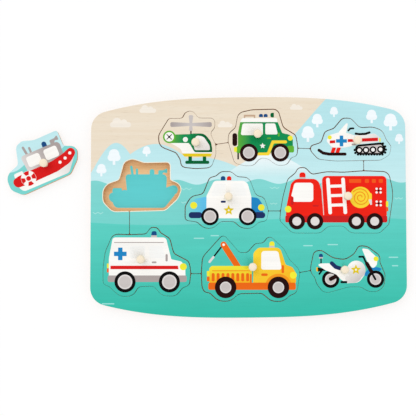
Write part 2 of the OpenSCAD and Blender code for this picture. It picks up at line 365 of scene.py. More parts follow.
def wheel(x, y, tyre_r, hub_r, tyre="tyre", cap="hub"):
    """Tyre, hub and the cap inside the hub."""
    return [
        (tyre, disc(x, y, tyre_r)),
        ("pale_grey", disc(x, y, hub_r)),
        (cap, disc(x, y, CAP_SHARE * hub_r)),
    ]


def wheels(places, *like, **inks):
    """Wheels alike at several places along one level."""
    return list(chain(*[wheel(x, *like, **inks) for x in places]))


def helicopter_print():
    """Green helicopter that faces right, with a rotor, a tail ring and a skid."""
    tail = (-75.4, 66.1)
    blades = 3.6 * np.exp(1j * np.radians([45, 135, 225, 315]))
    return [
        ("blade_left", rounded((-74.4, 80.4, 1.6), (-74.4, 75.5, 1.6), (-55, 76.6, 0.3), (-55, 79.4, 0.3))),
        ("blade_right", rounded((-55, 79.4, 0.3), (-55, 76.6, 0.3), (-34.8, 75.5, 1.6),
            (-34.8, 80.4, 1.6))),
        ("hub", rounded((-57, 87, 1.2), (-55.9, 78, 6), (-56.6, 72, 0.4), (-52.8, 72, 0.4), (-53.6, 78, 6),
            (-52.4, 87, 1.2))),
        ("tyre", bar(-54.7, 68.6, -54.7, 72, 1.3)),
        ("white", rounded((-75, 60.6, 0.6), (-54, 61, 0.6), (-50, 51.4, 1), (-34.8, 51.4, 0.4),
            (-34.8, 50, 0.4), (-62.6, 50, 2), (-64.4, 54.4, 4), (-69, 57.4, 5))),
        ("boom_green", rounded((-76, 68.2, 1), (-56, 68.8, 4), (-51, 69.4, 3), (-51, 58, 2), (-56, 60.2, 3),
            (-76, 60.2, 1))),
        ("canopy_green", rounded((-57, 68.7, 1), (-52, 69.4, 4), (-41.8, 69.4, 8), (-35.6, 61.6, 8),
            (-34.4, 55, 6), (-34.4, 51.4, 0.8), (-51.2, 51.4, 2.6), (-55.4, 58.6, 4), (-57, 60.2, 1))),
        ("canopy_glass", rounded((-51, 53.4, 1.6), (-36.4, 53.4, 1.2), (-36.9, 58, 6), (-42.6, 66.4, 6),
            (-49.6, 67.6, 3), (-52.6, 60, 3))),
        ("white", disc(-60, 63.6, 2.4)),
        ("glass", disc(-60, 63.6, 1.7)),
        ("mustard", rounded((-63.4, 50.2, 0.5), (-61, 47.2, 0.8), (-35.8, 47.2, 0.8), (-34.4, 50.2, 0.5))),
        *[("dark_green", box(x, 42.8, end, 47.3, 0.3)) for x, end in [(-57.1, -53.7), (-43.4, -40.1)]],
        ("dark_green", box(-60.1, 40.2, -37.2, 43.3, 1.4)),
        ("light_green", disc(*tail, 6)),
        ("white", disc(*tail, 4.5)),
        *[("tyre", bar(*tail, tail[0] + b.real, tail[1] + b.imag, 0.8)) for b in blades],
        ("black", disc(*tail, 1.1)),
    ]


def off_road_car_print():
    """Green car that faces right, with a spare wheel behind and a roof rack."""
    return [
        ("tan", bar(-4.2, 86.6, 6.9, 86.6, 1.8)),
        *[("tan", box(x, 84, end, 86.6, 0.2)) for x, end in [(-4.2, -2.8), (5.4, 6.8)]],
        *[("deep_blue", dome(x, 85.2, 3.8, 3.1)) for x in (12.2, 16.7)],
        ("dark_green", rounded((21.2, 84.9, 2), (24.6, 84.9, 0.4), (24.6, 89.4, 0.4), (21.2, 89.4, 2))),
        ("tyre", box(-15.1, 57.4, -10.5, 69.8, 2.2)),
        ("car_green", rounded((-7.6, 80.6, 0.8), (28.2, 80.6, 0.8), (32.4, 70, 1.5), (39.8, 68.2, 3),
            (42.6, 64.4, 3), (42.6, 53.6, 1), (24, 53.6, 0.5), (20.6, 50, 0.5), (8, 50, 0.5),
            (-9.8, 53.6, 1), (-9.8, 70, 2))),
        ("white", rounded((-7.9, 80.4, 0.4), (28.1, 80.4, 0.4), (27.4, 84.3, 1.5), (-5.6, 84.3, 2))),
        ("white", rounded((-7.2, 67.9, 1.6), (14, 67.9, 1.6), (14, 79.1, 1.4), (-5.4, 79.1, 2))),
        ("white", rounded((16.3, 68.6, 1.4), (28.4, 68.6, 1.4), (25.8, 79.1, 1.6), (16.3, 79.1, 1.4))),
        ("light_green", box(28.3, 66.6, 30, 70.4, 0.8)),
        ("light_green", bar(17.9, 64.9, 21.8, 64.9, 1.4)),
        ("yellow", bend([(9, 49.8), (19, 49.8), (23.5, 61.4), (37, 61.4)], 2.8)),
        ("white", star(13.7, 57.6, 3)),
        ("light_green", box(37.4, 51.2, 43.7, 57.7, 1.4)),
        ("light_green", box(-11.2, 50.6, -7.4, 57.4, 1.2)),
        ("lemon", box(-13.5, 51.8, -10.8, 56.5, 0.8)),
        ("black", box(-10.4, 44.6, -8.9, 50.8, 0.5)),
        ("lemon", disc(40.2, 65, 2.4)),
        *wheels((0.6, 30.5), 51.1, 8.6, 5.6),
    ]


def snowmobile_print():
    """White snowmobile that faces left, on a ski and a lugged track."""
    lugs = [(x, 49.4) for x in np.arange(104.6, 129.6, 2.6)]
    lugs += [(102.2, 50.8), (101.6, 53.6), (130.6, 51.2), (131.2, 54), (130.6, 57), (128.6, 59.8)]
    rollers = [(105.9, 53.4), (112.3, 53.6), (119, 53.9), (126.2, 54.2)]
    return [
        *[("red", bar(x, 50.2, end, 57, 3.5)) for x, end in [(79.9, 82.5), (84.5, 87.1)]],
        ("white", rounded((85.6, 70, 1), (93.4, 69.4, 1), (95.3, 79.2, 0.9), (93.6, 79.2, 1.2))),
        ("white", rounded((74.4, 62.4, 3), (77.6, 68, 3), (87, 70.6, 6), (95, 69.8, 4), (101, 67.8, 3),
            (113, 68.4, 6), (120.6, 69.6, 4), (125.2, 66, 2.5), (124.6, 61.4, 1.5), (103, 58.8, 2),
            (97, 57, 3), (92, 56, 3), (80, 56, 4))),
        ("snow_rear", rounded((104, 59.2, 1), (124.4, 61.4, 1.5), (125, 66, 2.5), (120.4, 69.4, 4),
            (113, 68.2, 6), (104, 68, 1))),
        ("black", bend([(95, 71.6), (97.4, 74.3), (101.4, 74.4)], 1.8)),
        ("black", bend([(101.6, 69.5), (106, 68.8), (112, 69.1), (116.8, 70.8)], 2.2)),
        ("crimson", rounded((77.8, 59.9, 0.3), (85, 60.4, 0.3), (85.2, 63.2, 0.3), (77.8, 62.7, 0.3))),
        ("crimson", rounded((93, 61.2, 0.3), (100.6, 61.4, 0.3), (99.6, 64.1, 0.3), (93, 64.1, 0.3))),
        ("crimson", rounded((108.2, 61.6, 0.3), (123.8, 62.3, 0.3), (123.8, 65.5, 0.3),
            (108.4, 64.8, 0.3))),
        ("white", plus(89, 62.3, 6, 4.6)),
        ("blue", plus(89, 62.3, 5.2, 3.4)),
        ("grey", bar(98.6, 58.9, 103.4, 58.9, 1.8)),
        ("lemon", disc(77.8, 65.7, 2)),
        ("lemon", box(125, 61.4, 126.4, 65.2, 0.5)),
        ("black", rounded((104.4, 49.2, 4), (129, 49.2, 4.6), (131.4, 55, 4.5), (127.6, 61, 3),
            (103.4, 58.6, 3.5), (101.4, 54, 3.5))),
        *[("black", disc(*at, 1.2)) for at in lugs],
        ("hub", rounded((105, 50.8, 2.4), (127.4, 50.8, 2.8), (129.4, 55, 2.6), (126.8, 58.9, 2),
            (104.4, 56.8, 2), (103, 54, 2))),
        *[("black", disc(*at, 3.3)) for at in rollers],
        *[("glass", disc(*at, 1.8)) for at in rollers],
        ("tyre", bend([(66.3, 54.2), (71.4, 50.7), (77, 49.7), (93.8, 49.7)], 2.9)),
    ]


def rescue_boat_print():
    """Red and white boat as it lies in its cut-out, with a cabin and a lifebuoy."""
    buoy = (-118, 9.1)
    return [
        ("grey", bar(-110.6, 30.6, -112, 39.6, 2.4)),
        ("grey", bar(-106.4, 30.6, -106.4, 37, 2.2)),
        ("deep_blue", dome(-92, 31, 4.6, 5.4)),
        ("grey", rounded((-86, 31, 0.4), (-82.4, 31, 0.4), (-81, 33.2, 0.5), (-77.4, 32.4, 0.8),
            (-77.4, 37.4, 0.8), (-81, 35.4, 0.5), (-86, 35.2, 1))),
        ("boat_grey", rounded((-115.8, 14, 1), (-78.4, 15.4, 1), (-77.6, 31.4, 4), (-117.6, 31.4, 3))),
        ("white", box(-113.2, 18.1, -99.8, 28.7, 2.4)),
        ("white", box(-95.4, 18, -82, 28.8, 2.4)),
        ("white", rounded((-130, 14, 1), (-120.8, 13, 0.8), (-120.8, 18.2, 1), (-129.6, 18.2, 1.8))),
        ("hull", rounded((-131.4, 7.6, 3), (-127, -0.8, 5), (-80, -0.8, 5), (-69.4, 12.4, 1.5),
            (-73, 11.6, 6), (-88, 7, 20), (-112, 7, 20))),
        ("crimson", rounded((-133.8, 13, 4.8), (-132.2, 4.6, 4.8), (-112, 4, 20), (-90, 4.6, 20),
            (-75.6, 7.8, 12), (-66, 15.2, 5), (-69.4, 22, 4.6), (-79, 18.4, 10), (-92, 15.6, 25),
            (-112, 15.4, 20), (-126, 14.8, 6))),
        ("white", disc(*buoy, 7.3)),
        *[("crimson", band(*buoy, 5.2, 3.8, a - 24, a + 24)) for a in (0, 90, 180, 270)],
        ("crimson", disc(*buoy, 2.3)),
        *[("white", disc(x, y, 1.5)) for x, y in [(-84.4, 11.8), (-78.4, 13.6), (-72.4, 16.4)]],
    ]


def police_car_print():
    """White car that faces left, with blue wings and two roof lamps."""
    return [
        ("deep_blue", dome(-24, 25.2, 4.5, 4)),
        ("red", dome(-18.3, 25.2, 4.3, 4)),
        ("police_front", rounded((-56.6, -8, 2), (-38, -8, 0.5), (-39, 9.8, 2), (-51, 7.6, 4),
            (-56.6, 0, 6))),
        ("blue", rounded((1.6, -8, 0.5), (14, -8, 1), (13.6, 2, 5), (9.6, 8.4, 5), (1.6, 9.4, 1))),
        ("white", rounded((-40, -11, 0.5), (2.8, -11, 0.5), (2.8, 10, 2), (-0.6, 22, 4), (-4.4, 24.8, 4),
            (-32.6, 24.8, 4), (-39.8, 10.4, 2))),
        ("glass", rounded((-36, 10.4, 1.5), (-22, 10.4, 1.2), (-22, 22.4, 1.2), (-30.8, 22.4, 3))),
        ("glass", rounded((-16.4, 10.4, 1.2), (-1.2, 10.4, 1.5), (-4.6, 22.4, 3), (-16.4, 22.4, 1.2))),
        ("navy", bar(-26.3, 4.8, -21.4, 4.8, 2.1)),
        ("navy", box(-56.7, -10.9, -44, -5.1, 2.7)),
        ("navy", box(5, -10.9, 16, -5.1, 2.7)),
        ("lemon", disc(-52, 1.3, 3.3)),
        ("lemon", disc(12.3, -0.7, 3.1)),
        ("mustard", star(-18.7, -3.4, 5.4)),
        ("white", disc(-18.7, -3.4, 0.9)),
        *wheels((-36.5, -0.7), -9.3, 8.4, 5.9, "black"),
    ]


def fire_engine_print():
    """Red fire engine that faces left, with a ladder, a hose reel and valves."""
    reel = (106.7, 8.9)
    valves = [(124, 15.4), (124, 3.2)]
    markers = [(96, 11.5), (111, 3.9), (117.6, 3.9), (124.2, 3.9)]
    return [
        ("red", dome(51.6, 28.2, 5.8, 4.6)),
        ("hub", box(48.6, 26.4, 54.6, 28.2, 0.3)),
        ("dark_red", box(35, -15, 132, -8.2, 1.6)),
        ("red", rounded((35.6, -8.6, 1), (71, -8.6, 0.5), (69.6, 16, 8), (66.4, 26.6, 7), (45, 26.6, 8),
            (40.6, 22, 6), (36.2, 0, 8))),
        ("red", rounded((70.6, -8.6, 0.5), (131.6, -8.6, 1), (131.6, 29.4, 4), (70.2, 29.4, 4))),
        ("pale_grey", bar(69.9, 22, 71.6, -8, 0.7)),
        ("white", rounded((42.8, 4.7, 1), (61.8, 4.7, 3), (61.8, 22.9, 3), (44, 22.9, 3), (40.8, 10.2, 1),
            (42.8, 9.4, 0.3))),
        ("dark_red", box(40.7, 1.8, 43, 9.4, 1)),
        ("dark_red", bar(61, 0.9, 66.8, 0.9, 1.6)),
        ("white", bar(75.7, 27.6, 77.9, -7.2, 3.4)),
        ("white", bar(90.1, 27.8, 92.3, -7, 3.4)),
        *[("white", bar(77, y, 91.4, y + 0.5, 2.8)) for y in (19.5, 10.5, 1.4)],
        ("yellow", disc(*reel, 10.2)),
        ("tangerine", coil(*reel, 1.4, 8.6, 2.4, 0.9)),
        ("yellow", bar(116.2, 13, 116.2, 6.4, 2.6)),
        ("pale_grey", rounded((114.4, 6.8, 0.4), (116, 1.6, 0.4), (117.6, 2, 0.4), (117.4, 7, 0.4))),
        *[("ember", box(x, 22.8, x + w, 26.4, 0.8)) for x, w in markers],
        *[("dark_red", disc(*at, 3.2)) for at in valves],
        *[("white", disc(x + u, y + v, 1.1)) for x, y in valves for u in (-1.9, 1.9) for v in (-1.7, 1.7)],
        *[("tyre", disc(*at, 1)) for at in valves],
        ("lemon", box(130.9, 0, 133.1, 5.3, 0.7)),
        ("ember", box(130.9, -4.4, 133.1, -0.4, 0.7)),
        ("lemon", disc(37.8, -2.3, 3.1)),
        *wheels((46, 63.3, 102.6, 120), -13.8, 7.8, 4.2, cap="pale_grey"),
    ]


def ambulance_print():
    """White van that faces right, with a red stripe and a blue cross."""
    return [
        ("deep_blue", rounded((-92.4, -27.2, 0.4), (-86.9, -27.2, 0.4), (-87.5, -23.2, 1.6),
            (-91.6, -23.2, 1.6))),
        ("hub", box(-92.4, -29.4, -87, -27.2, 0.3)),
        ("white", rounded((-132.4, -70, 1.5), (-59.6, -70, 1), (-60, -57, 4), (-63.6, -52, 3),
            (-73.2, -49.9, 1.5), (-78.4, -29.2, 3.5), (-128.8, -29.2, 3), (-132.4, -49, 8))),
        ("grey", bar(-127.6, -34, -80.4, -34, 0.8)),
        ("glass", rounded((-94, -49, 1.2), (-78.8, -49, 1.5), (-81.6, -37.4, 2), (-94, -37.4, 1.5))),
        ("glass", box(-112.4, -49, -98, -37.4, 1.5)),
        ("crimson", rounded((-130.9, -59.3, 0.4), (-66.2, -59.3, 0.4), (-67, -56, 0.4),
            (-130.9, -56, 0.4))),
        ("grey", box(-133.4, -71.4, -58.6, -65.2, 1.5)),
        ("blue", plus(-121.6, -44.8, 6, 4.2)),
        ("grey", bar(-91.7, -52.8, -87.2, -52.8, 1.7)),
        ("grey", box(-78.7, -52, -76.6, -45, 1)),
        ("lemon", box(-134.2, -58.2, -132.4, -53.8, 0.7)),
        ("ember", box(-134.2, -62.4, -132.4, -58.4, 0.7)),
        ("lemon", disc(-61.9, -57, 3.3)),
        *wheels((-117, -75), -71.3, 10, 6.9, "black"),
    ]


def tow_truck_print():
    """Yellow truck that faces right, with an orange boom over a slotted bed."""
    slots = -34.9 + 4.66 * np.arange(8)
    return [
        ("black", bar(-25.6, -38, -33.2, -47.8, 1.5)),
        ("pale_grey", bar(-32.6, -47, -37.6, -53.2, 2.2)),
        ("orange", bar(-8.4, -59.6, -25.2, -33.6, 5.8)),
        ("white", disc(-23.6, -36.1, 1.2)),
        ("lemon", dome(22.3, -37.2, 4.8, 4.2)),
        ("hub", box(19.5, -39.2, 24.9, -37.1, 0.4)),
        ("tow_bed", rounded((-37.2, -72.4, 1), (3.2, -72.4, 0.3), (3.2, -56.2, 0.6), (-35, -56.2, 2),
            (-37.2, -58.4, 2))),
        ("tangerine", bar(-34.6, -60.8, 1.4, -60.8, 0.9)),
        *[("orange", box(x, -70.8, x + 2.8, -63, 1.2)) for x in slots],
        ("orange", box(1.4, -72, 3, -64, 0.4)),
        ("tow_cab", rounded((4.4, -72.4, 0.5), (45, -72.4, 1), (45, -63, 4), (41.6, -57.4, 4),
            (35.2, -55, 2), (30, -38.9, 5), (9.5, -38.9, 5), (4.6, -43.6, 6))),
        ("tangerine", band(28.3, -76.5, 11.4, 2.8, 18, 162)),
        ("white", rounded((12, -59.7, 2), (31.6, -59.7, 2), (28.2, -42, 3), (12.2, -42, 3))),
        ("orange", bar(12, -64.5, 18.2, -64.5, 2.4)),
        ("orange", box(31.3, -63, 33.7, -55.4, 1)),
        ("orange", box(-38.2, -78.8, 44.8, -72, 1.8)),
        ("lemon", box(-39.5, -66, -37, -61, 0.7)),
        ("orange", box(-39.5, -70.8, -37, -66.2, 0.7)),
        ("lemon", disc(42.4, -65, 3.3)),
        *wheels((-21.7, 28.3), -76.5, 10.2, 5.4),
    ]


def motorcycle_print():
    """White motorcycle that faces right, with a windshield and a blue mudguard."""
    return [
        ("deep_blue", dome(68.7, -47.9, 3.7, 3.2)),
        ("hub", box(66.8, -49.2, 70.6, -47.8, 0.3)),
        ("black", bar(68.8, -49, 68.8, -55, 1.3)),
        ("amber", box(64.2, -61.4, 66.2, -57.4, 0.8)),
        ("black", rounded((65.6, -57.6, 0.5), (73, -59, 0.5), (73, -60.6, 0.5), (65.8, -61.6, 0.5))),
        ("black", bar(70.6, -59.2, 66.6, -64.4, 1.7)),
        *wheel(77.8, -68.8, 8.2, 5.3, "black"),
        *wheel(120.3, -68.7, 8.2, 5.4, "black"),
        ("black", bar(76.2, -69.4, 85.6, -64.6, 3.8)),
        ("tyre", bar(77, -69, 85, -65, 2.2)),
        ("blue", band(120.3, -68.7, 9.9, 3, 60, 162)),
        ("white", rounded((65.4, -55.2, 1), (68.4, -53.9, 1.5), (76.4, -53.7, 2), (84, -58.2, 5),
            (92, -60, 3), (96, -53.4, 5), (103, -50.6, 7), (110.6, -56, 7), (110.4, -64, 7),
            (104.6, -72, 8), (93, -72.6, 3), (87.4, -69, 3), (83.4, -64.4, 5), (72.4, -60, 5))),
        ("motor_tank", rounded((90, -66, 3), (108.6, -64, 6), (104.6, -71.8, 8), (93.4, -72.4, 3))),
        ("motor_tank", disc(102.2, -59.9, 8.7)),
        ("navy", bend([(77.6, -52.4), (82.6, -57.2), (88.4, -59)], 3.8, 4)),
        ("white", rounded((107.4, -39.4, 1), (113.6, -40.4, 4), (122.6, -49, 4), (121.6, -55.2, 2.5),
            (118.2, -58.8, 2), (113.4, -54, 4))),
        ("black", bend([(104.2, -47.6), (108.9, -47.4), (111, -52.4)], 1.8, 1)),
        ("black", bar(110.4, -51, 120.6, -69.6, 2)),
        ("tyre", bar(111.4, -52.4, 117.2, -62.8, 3.6)),
        ("lemon", disc(120.9, -49.5, 2.3)),
        ("black", bar(87, -71.5, 93.6, -71.5, 2.1)),
        ("mustard", star(101.8, -59.8, 5.2)),
        ("white", disc(101.8, -59.8, 0.9)),
    ]


PRINTS = {
    "helicopter": helicopter_print, "off_road_car": off_road_car_print, "snowmobile": snowmobile_print,
    "rescue_boat": rescue_boat_print, "police_car": police_car_print, "fire_engine": fire_engine_print,
    "ambulance": ambulance_print, "tow_truck": tow_truck_print, "motorcycle": motorcycle_print,
}

# Moves that set a print square in its sawn outline
PRINT_MOVES = {"helicopter": (0, 0.7), "off_road_car": (0, 0.6), "snowmobile": (0, 0.6)}

# Inks that run from one colour to another between two places on the board
INK_BLENDS = {
    "boom_green": ("light_green", "green", (-76, 66), (-62, 65)),
    "canopy_green": ("green", "dark_green", (-58, 64), (-44, 62)),
    "canopy_glass": ("white", "pale_grey", (-48, 66), (-36, 53)),
    "blade_left": ("grey", "hub", (-73, 78), (-57, 78)),
    "blade_right": ("grey", "hub", (-36, 78), (-52, 78)),
    "car_green": ("light_green", "green", (-12, 66), (3, 66)),
    "snow_rear": ("white", "pale_grey", (104, 66), (123, 60)),
    "boat_grey": ("pale_grey", "grey", (-118, 20), (-90, 26)),
    "hull": ("white", "pale_grey", (-94, 2), (-76, 6)),
    "police_front": ("surf", "sky_blue", (-56, 2), (-44, 2)),
    "tow_bed": ("lemon", "amber", (-20, -56), (-20, -70)),
    "tow_cab": ("yellow", "amber", (8, -42), (40, -70)),
    "motor_tank": ("white", "hub", (97, -55), (108, -67)),
}


def printed(vehicle):
    """Shapes of a vehicle's print, in their place on the board."""
    move = PRINT_MOVES.get(vehicle, (0, 0))
    return [(ink, shape + move) for ink, shape in PRINTS[vehicle]()]


def round_tree(x, y, size):
    """Round-headed tree on a short trunk."""
    return [
        ("frost", box(x - 0.09 * size, y, x + 0.09 * size, y + 0.5 * size, 0.2)),
        ("frost", disc(x, y + 0.72 * size, 0.36 * size)),
        ("frost", disc(x - 0.2 * size, y + 0.5 * size, 0.24 * size)),
        ("frost", disc(x + 0.2 * size, y + 0.5 * size, 0.24 * size)),
    ]


def cloud(x, y, size):
    """Flat-footed cloud of three round puffs."""
    return [
        ("cloud", box(x - size, y, x + size, y + 0.5 * size, 0.24 * size)),
        ("cloud", disc(x - 0.35 * size, y + 0.5 * size, 0.42 * size)),
        ("cloud", disc(x + 0.32 * size, y + 0.42 * size, 0.34 * size)),
    ]


# Widths of the strokes on water and road
RIPPLE_W = 0.9
DASH_W = 1.1


def ripple(x, y, size):
    """Short double wave on the water."""
    across = np.linspace(-1, 1, 9)
    line = np.column_stack([x + size * across, y + 0.16 * size * np.cos(2 * np.pi * across)])
    return [("spray", bend(line, RIPPLE_W, 1))]


def landscape_marks():
    """Small figures on the frame, where no cut-out takes them."""
    trees = [
        (-140, 29, 11), (-128, 40, 14), (-97, 48, 9), (57, 62, 14), (66, 76, 12), (82, 86, 9),
        (118, 80, 12), (136, 73, 15), (144, 60, 9),
    ]
    clouds = [(-122, 76, 10), (-96, 90, 8), (-22, 76, 7), (46, 93, 6)]
    ripples = [(-143, -6, 5), (-59, 17, 5), (-60, 4, 4), (25, 18, 4.5), (143, 8, 4), (24, 3, 3.5)]
    dashes = [
        (-139, -92, 12), (-52, -30, 10), (-36, -27.5, 8), (52, -37, 9), (75, -36, 10), (133, -48, 9),
        (136, -56, 6),
    ]
    marks = [round_tree(*t) for t in trees] + [cloud(*c) for c in clouds] + [ripple(*r) for r in ripples]
    marks += [[("spray", bar(x, y, x + run, y, DASH_W))] for x, y, run in dashes]
    return list(chain(*marks))


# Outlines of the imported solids

# Decimals of a millimetre within which points are one, and how far a flat face may stray from its height
SAME_DECIMALS = 3
FLAT_STRAY = 0.01


def chained(after):
    """Order of the points in each closed loop, given the point after every point. By pointer doubling, every
    point learns the lowest point of its loop, and then how many steps it is away from it."""
    count = len(after)
    rounds = int(math.ceil(math.log2(count))) + 1
    lowest, reach = np.arange(count), after.copy()
    for _ in range(rounds):
        lowest = np.minimum(lowest, lowest[reach])
        reach = reach[reach]
    first = lowest == np.arange(count)
    reach = np.where(first, np.arange(count), after)
    steps = np.where(first, 0, 1)
    for _ in range(rounds):
        steps = steps + steps[reach]
        reach = reach[reach]
    loops = []
    for start in np.flatnonzero(first):
        members = np.flatnonzero(lowest == start)
        key = np.where(members == start, count, steps[members])
        loops.append(members[np.argsort(-key)])
    return loops


def face_loops(node, z):
    """Closed edges, in millimetres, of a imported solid's flat face at height z, largest first. The face lies
    to the left of each: its outer edge runs anticlockwise and its holes run clockwise."""
    mesh = frame["nodes"][node].data
    mesh.calc_loop_triangles()
    corners = np.zeros(len(mesh.vertices) * 3, np.float32)
    mesh.vertices.foreach_get("co", corners)
    triangles = np.zeros(len(mesh.loop_triangles) * 3, np.int32)
    mesh.loop_triangles.foreach_get("vertices", triangles)
    places = np.round(corners.reshape(-1, 3) / MM, SAME_DECIMALS)
    spots, same = np.unique(places, axis=0, return_inverse=True)
    triangles = same.reshape(-1)[triangles].reshape(-1, 3)
    flat = triangles[(np.abs(spots[triangles][:, :, 2] - z / MM) < FLAT_STRAY).all(1)]
    edges = np.concatenate([flat[:, [0, 1]], flat[:, [1, 2]], flat[:, [2, 0]]])
    code = edges[:, 0] * len(spots) + edges[:, 1]
    back = edges[:, 1] * len(spots) + edges[:, 0]
    rim = edges[~np.isin(code, back)]
    used, index = np.unique(rim, return_inverse=True)
    index = index.reshape(-1, 2)
    after = np.zeros(len(used), int)
    after[index[:, 0]] = index[:, 1]
    loops = [spots[used[order]][:, :2] for order in chained(after)]
    return sorted(loops, key=lambda loop: -abs(area(loop)))


def area(loop):
    """Area inside a closed line, positive where it runs anticlockwise."""
    ahead = np.roll(loop, -1, 0)
    return 0.5 * (loop[:, 0] * ahead[:, 1] - loop[:, 1] * ahead[:, 0]).sum()


def even(loop, step, soften):
    """The closed line with points at one even distance, its chords smoothed: every wave of the line is
    damped by a bell curve of the given width."""
    closed = np.concatenate([loop, loop[:1]])
    run = np.concatenate([[0], np.cumsum(np.linalg.norm(np.diff(closed, axis=0), axis=1))])
    count = int(round(run[-1] / step))
    at = np.arange(count) * run[-1] / count
    line = np.interp(at, run, closed[:, 0]) + 1j * np.interp(at, run, closed[:, 1])
    wave = 2 * np.pi * np.fft.fftfreq(count, run[-1] / count)
    line = np.fft.ifft(np.fft.fft(line) * np.exp(-0.5 * (wave * soften) ** 2))
    return np.stack([line.real, line.imag], 1)


# Meshes

# How near two points of a face meet, in millimetres, and the triangulation that fills only the given faces
MEET = 1e-5
FILL_FACES = 1
# How near points are welded and which faces are too narrow to keep, in metres
WELD = 2e-6
SLIVER = 1e-7


class Shell:
    """Points, faces and the finish of each face, gathered part by part and welded at the end."""

    def __init__(self, finishes):
        self.finishes = list(finishes)
        self.points, self.faces, self.finish_of, self.count = [], [], [], 0

    def number(self, finish):
        """Material slot of a finish, added when it is first used."""
        if finish not in self.finishes:
            self.finishes.append(finish)
        return self.finishes.index(finish)

    def add(self, points, faces, finish_of):
        """Adds points in millimetres, faces as rows of point numbers, and one finish number per face."""
        self.points.append(points)
        self.faces += (faces + self.count).tolist()
        self.finish_of.append(np.asarray(finish_of))
        self.count += len(points)

    def grid(self, rows, row_finish):
        """Adds a grid of points, rows by columns, whose columns close into a ring. Each pair of rows is one
        strip of quads with its finish, a second finish, and where along the strip the second one shows."""
        high, wide = rows.shape[:2]
        i, j = np.meshgrid(np.arange(high - 1), np.arange(wide), indexing="ij")
        k = (j + 1) % wide
        quads = [i * wide + j, i * wide + k, (i + 1) * wide + k, (i + 1) * wide + j]
        numbers = [np.where(bare, self.number(b), self.number(f)) for f, b, bare in row_finish]
        finish_of = np.concatenate([np.broadcast_to(n, wide) for n in numbers])
        self.add(rows.reshape(-1, 3), np.stack(quads, 2).reshape(-1, 4), finish_of)

    def cap(self, rings, z, finish, shapes=(), facing=1):
        """Fills the flat face between rings, the first its outer edge and the others its holes, with
        triangles. Each (finish, shape) lies in the face, and the last shape that covers a triangle gives its
        finish."""
        outer, holes = rings[0], [ring[::-1] for ring in rings[1:]]
        shapes = [(f, s if area(s) > 0 else s[::-1]) for f, s in shapes]
        lines = [outer, *[s for _, s in shapes], *holes]
        sizes = np.array([len(line) for line in lines])
        ends = np.cumsum(sizes)
        faces = [list(range(e - n, e)) for e, n in zip(ends.tolist(), sizes.tolist())]
        spots = list(map(Vector, np.concatenate(lines).tolist()))
        points, _, triangles, _, _, owners = delaunay_2d_cdt(spots, [], faces, FILL_FACES, MEET)
        points = np.array(points, float)
        triangles = np.array(triangles)
        starts = np.concatenate([[0], np.cumsum([len(o) for o in owners])[:-1]])
        owned = np.fromiter(chain.from_iterable(owners), int)
        top = np.maximum.reduceat(owned, starts)
        inside = np.minimum.reduceat(owned, starts) == 0
        kept = inside & (top <= len(shapes))
        triangles, top = triangles[kept], top[kept]
        corners = points[triangles]
        first, second = corners[:, 1] - corners[:, 0], corners[:, 2] - corners[:, 0]
        turn = (first[:, 0] * second[:, 1] - first[:, 1] * second[:, 0]) * facing
        triangles[turn < 0] = triangles[turn < 0][:, ::-1]
        numbers = np.array([self.number(finish), *[self.number(f) for f, _ in shapes]])
        self.add(np.column_stack([points, np.full(len(points), z)]), triangles, numbers[top])

    def piece(self, name, materials):
        """Makes the object, in metres, with coincident points welded and smooth shading."""
        mesh = bpy.data.meshes.new(name)
        mesh.from_pydata((np.concatenate(self.points) * MM).tolist(), [], self.faces)
        mesh.polygons.foreach_set("material_index", np.concatenate(self.finish_of).astype(np.int32))
        work = bmesh.new()
        work.from_mesh(mesh)
        bmesh.ops.remove_doubles(work, verts=work.verts, dist=WELD)
        bmesh.ops.dissolve_degenerate(work, edges=work.edges, dist=SLIVER)
        loose = [v for v in work.verts if not v.link_faces]
        bmesh.ops.delete(work, geom=loose, context="VERTS")
        # A printed outline that meets a rim splits its edge on one side only: a seam without width
        open_edges = sum(not e.is_manifold for e in work.edges)
        if open_edges:
            print(f"{name}: {open_edges} open edges")
        work.to_mesh(mesh)
        work.free()
        mesh.polygons.foreach_set("use_smooth", np.ones(len(mesh.polygons), bool))
        for finish in self.finishes:
            mesh.materials.append(materials[finish])
        piece = bpy.data.objects.new(name, mesh)
        bpy.context.scene.collection.objects.link(piece)
        return piece


# Points of a rounded rim, and width of the flat strip beside it in millimetres
RIM_STEPS = 5
STRIP = 0.15


def rim_profile(low, high, low_r, high_r):
    """Sections of a sheet's edge from its lower face to its upper one, as insets and heights, one column for
    each upper radius: a quarter circle, a straight wall, a quarter circle, and a flat strip at each end."""
    t = np.linspace(0, np.pi / 2, RIM_STEPS)[:, None]
    one = np.ones((1, len(high_r)))
    low_in, low_up = low_r * (1 - np.sin(t)), low_r * (1 - np.cos(t))
    high_in, high_down = high_r * (1 - np.cos(t)), high_r * (1 - np.sin(t))
    inset = [(low_r + STRIP) * one, low_in * one, high_in, high_r * one + STRIP]
    height = [low * one, (low + low_up) * one, high - high_down, high * one]
    return np.concatenate(inset), np.concatenate(height)


def carried(loop, inset, height):
    """The sections carried along a closed line: each point moves off it along its normal by the inset."""
    along = np.roll(loop, -1, 0) - np.roll(loop, 1, 0)
    along /= np.linalg.norm(along, axis=1, keepdims=True)
    outward = np.stack([along[:, 1], -along[:, 0]], 1)
    flat = loop[None] - outward[None] * inset[:, :, None]
    return np.concatenate([flat, height[:, :, None]], 2)


def nowhere(loop):
    """Share of bare rim at each point of a line that is printed all along."""
    return np.zeros(len(loop))


# Finishes of a sheet's lower face, of its rims and of its sawn walls
UNDER, RIM, WALL = "back_wood", "rim_wood", "ply_edge"


